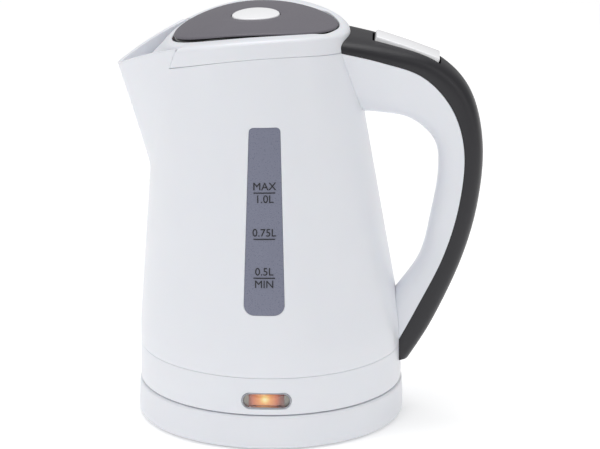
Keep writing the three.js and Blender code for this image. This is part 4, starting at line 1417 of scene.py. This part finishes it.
@dataclass
class Lid:
    """The oval lid: a satin grey cover over a polished black edge whose black also paints the shadow in the gap
    below it, with its round button.
    """

    size: LidSize
    edge_round: float = 0.9
    proud: float = 1.7

    def build(self, outline: Outline) -> None:
        """Make the cover, its edge band, which also paints the gap's shadow, and the button."""
        self._cover(outline)
        self._edge_band_with_gap_shadow(outline)
        self._button(outline)

    def _rise(self, outline: Outline, x: float, y: float, share: float) -> float:
        """The cover's top, which stands proud of the rim and comes down to it by the hinge."""
        along = min(1.0, max(0.0, (x + 30) / 62))
        stand = self.proud * (1 - along * along * (3 - 2 * along))
        return outline.crown(x) + stand + self.size.dome * (1 - share**2)

    def _top_point(self, outline: Outline, angle: float, share: float, down: float = 0.0) -> Point:
        """A point of the cover's top at a share of the way out."""
        x, y = self.size.oval(angle, 0, share)
        return x, y, self._rise(outline, x, y, share) - down

    def _round_point(self, outline: Outline, angle: float, radius: float, down: float) -> Point:
        """A point at a radius round the button."""
        x, y = self.size.x - radius * math.cos(angle), radius * math.sin(angle)
        share = math.hypot((x - self.size.x) / self.size.half_x, y / self.size.half_y)
        return x, y, self._rise(outline, x, y, share) - down

    def _sections(
        self, name: str, make: Callable[[float], list[Point]], columns: int = 192
    ) -> bpy.types.Object:
        """Join closed sections that stand round the lid's middle."""
        sections = [make(TURN * k / columns) for k in range(columns + 1)]
        length = len(sections[0]) - 1
        return formed(name, columns, length, lambda u, v: sections[round(u * columns)][round(v * length)])

    def _cover(self, outline: Outline) -> None:
        """Press the grey cover with the button's hole in it."""
        hole, soft = self.size.hole, self.edge_round
        bore = ((hole, 5.0), (hole, 0.5), (hole + 0.15, 0.15), (hole + 0.5, 0))
        collar = ((hole + 1.6, 2.2), (hole + 1.6, 5.0))

        def section(angle: float) -> list[Point]:
            points = [self._round_point(outline, angle, radius, down) for radius, down in bore]
            first = 0.42
            for step in range(1, 15):
                points.append(self._top_point(outline, angle, first + (0.975 - first) * step / 14))
            for step in range(1, 8):
                bend = math.pi / 2 * step / 7
                share = 0.975 + 0.025 * math.sin(bend)
                points.append(self._top_point(outline, angle, share, soft * (1 - math.cos(bend))))
            points.append(self._top_point(outline, angle, 0.985, soft + 0.35))
            points.append(self._top_point(outline, angle, 0.96, soft + 0.4))
            points += [self._top_point(outline, angle, 0.93, 2.2), self._top_point(outline, angle, 0.6, 2.2)]
            points += [self._round_point(outline, angle, radius, down) for radius, down in collar]
            points.append(points[0])
            return points

        cover = self._sections("lid_dome", section)
        shade(cover, 50)
        fit(cover, Body.LID, LID_GREY, "lid_cover")

    def _edge_band_with_gap_shadow(self, outline: Outline) -> None:
        """Press the polished band that shows as a black line under the cover. It reaches down into the gap round
        the lid, where its black is painted shadow.
        """

        def section(angle: float) -> list[Point]:
            points: list[Point] = []
            for share, high in ((0.93, 2.0), (0.972, 1.35), (0.986, 1.5), (0.992, 2.2)):
                points.append(self._top_point(outline, angle, share, high))
            # These two points take the black band down into the gap under the cover, as painted shadow.
            for share in (0.99, 0.95):
                x, y = self.size.oval(angle, 0, share)
                points.append((x, y, outline.crown(x, 4.6)))
            points.append(points[0])
            return points

        band = self._sections("lid_edge_band_and_painted_gap_shadow", section)
        shade(band, 50)
        fit(band, Body.LID, LID_EDGE_AND_GAP_SHADOW)

    def _button(self, outline: Outline) -> None:
        """Press the round white key that carries on the dome."""
        radius = self.size.button
        rim = ((0.965, -0.36), (0.988, -0.16), (1.0, 0.25), (1.0, 4.0), (0.86, 4.0), (0.86, 1.2), (0.2, 1.2))

        def section(angle: float) -> list[Point]:
            points = [self._round_point(outline, angle, 0.001, -0.5)]
            for step in range(1, 9):
                dish = -0.5 + 0.1 * (step / 8) ** 2
                points.append(self._round_point(outline, angle, radius * 0.93 * step / 8, dish))
            for share, down in rim:
                points.append(self._round_point(outline, angle, radius * share, down))
            points += [self._round_point(outline, angle, 2.2, 5.2), self._round_point(outline, angle, 0.001, 5.2)]
            return points

        button = self._sections("lid_button_key", section, 96)
        for side in (-1, 1):
            low, high = mm_box("lid_button")
            near, far = sorted((side * 9.8, side * 11.4))
            x = self.size.x
            combine(button, block("button_leg", (x - 1.8, near, low.z), (x + 1.8, far, high.z - 5)), "UNION")
        shade(button, 40)
        fit(button, Body.BUTTON, WHITE_KEY, "lid_button")


# The finish of each node that stays as it is, by its material slot.
NODE_FINISHES = {
    finish.slot: finish
    for finish in (WHITE, WHITE_KEY, LID_GREY, GRIP, SMOKE, CLEAR, CHROME, STAINLESS, ALUMINIUM, BRASS,
                   ZINC, NYLON, PALE_NYLON, SILICONE, RUBBER)
}


@dataclass
class Studio:
    """A white floor, soft light and the camera."""

    camera: Point = (76.6, -2088.6, 736.0)
    aim: Point = (15.805, 0.0, 104.49)
    lens: float = 241.4
    world: float = 0.4

    def build(self) -> None:
        """Set the floor, the light and the camera."""
        self._floor()
        self._world()
        self._lamp("left_light", (-1500, -800, 900), (0, 0, 150), 700, 1500, 4.5)
        self._lamp("right_light", (1500, -900, 900), (0, 0, 150), 700, 1500, 3.5)
        self._lamp("front_light", (-500, -1600, 1500), (0, 0, 150), 900, 900, 4)
        self._lamp("top_light", (0, 200, 1800), (0, 0, 100), 1600, 1600, 19)
        self._camera()

    def _floor(self) -> None:
        """Lay a large, flat, pale floor."""
        deselect()
        bpy.ops.mesh.primitive_plane_add(size=2)
        floor = named("studio_floor")
        for vertex in floor.data.vertices:
            vertex.co = Vector((vertex.co.x * 4, vertex.co.y * 4, 0))
        floor_finish = bpy.data.materials.new("floor_paper_matt")
        floor_finish.use_nodes = True
        shader = floor_finish.node_tree.nodes["Principled BSDF"]
        shader.inputs["Base Color"].default_value = linear("FFFFFF")
        shader.inputs["Roughness"].default_value = 0.9
        shader.inputs["Emission Color"].default_value = linear("FFFFFF")
        shader.inputs["Emission Strength"].default_value = 0.19
        floor.data.materials.append(floor_finish)

    def _world(self) -> None:
        """Fill the room with even white light."""
        world = bpy.data.worlds.new("white_room")
        bpy.context.scene.world = world
        world.use_nodes = True
        sky = world.node_tree.nodes["Background"]
        sky.inputs["Color"].default_value = linear("FFFFFF")
        sky.inputs["Strength"].default_value = self.world
        bpy.context.scene.view_settings.view_transform = "Standard"

    def _lamp(self, name: str, place: Point, aim: Point, wide: float, high: float, watts: float) -> None:
        """Hang a rectangular soft light that looks at a point.

        Args:
            name: Its name.
            place: Where it hangs.
            aim: What it looks at.
            wide: Its width.
            high: Its height.
            watts: Its power.
        """
        deselect()
        bpy.ops.object.light_add(type="AREA", location=[c * MM for c in place])
        lamp = bpy.context.object
        lamp.name = name
        lamp.data.shape = "RECTANGLE"
        lamp.data.size = wide * MM
        lamp.data.size_y = high * MM
        lamp.data.energy = watts
        lamp.rotation_euler = (Vector(aim) - Vector(place)).to_track_quat("-Z", "Y").to_euler()

    def _camera(self) -> None:
        """Stand the camera in front of the kettle, a little above it."""
        data = bpy.data.cameras.new("studio_camera")
        camera = bpy.data.objects.new("studio_camera", data)
        bpy.context.scene.collection.objects.link(camera)
        data.lens = self.lens
        data.sensor_width = 36
        data.clip_end = 20
        camera.location = Vector(self.camera) * MM
        camera.rotation_euler = (Vector(self.aim) - Vector(self.camera)).to_track_quat("-Z", "Y").to_euler()
        bpy.context.scene.camera = camera


def dress_the_rest(frame: dict[str, Any]) -> None:
    """Give every CAD node a finish.

    Args:
        frame: The loaded frame.
    """
    slots = {part["node"]: part["material_slot"] for part in frame["record"]["subparts"]}
    for name, node in frame["nodes"].items():
        finish = NODE_FINISHES.get(slots.get(name, ""), ZINC)
        dress_node(node, finish)
        LOG.info("%s is dressed as %s", name, finish.name)


def main() -> None:
    """Build the kettle round its frame."""
    logging.basicConfig(level=logging.INFO, format="%(message)s")
    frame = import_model()
    Studio().build()
    dress_the_rest(frame)
    outline = Outline()
    lid_size = LidSize()
    window = WaterWindow()
    lamp = Lamp()
    PowerBase().build()
    JugPlug().build()
    window.build(outline)
    lamp.build(outline)
    Jug().build(outline, lid_size, window, lamp)
    Handle().build(outline)
    Lid(lid_size).build(outline)


if __name__ == "__main__":
    main()
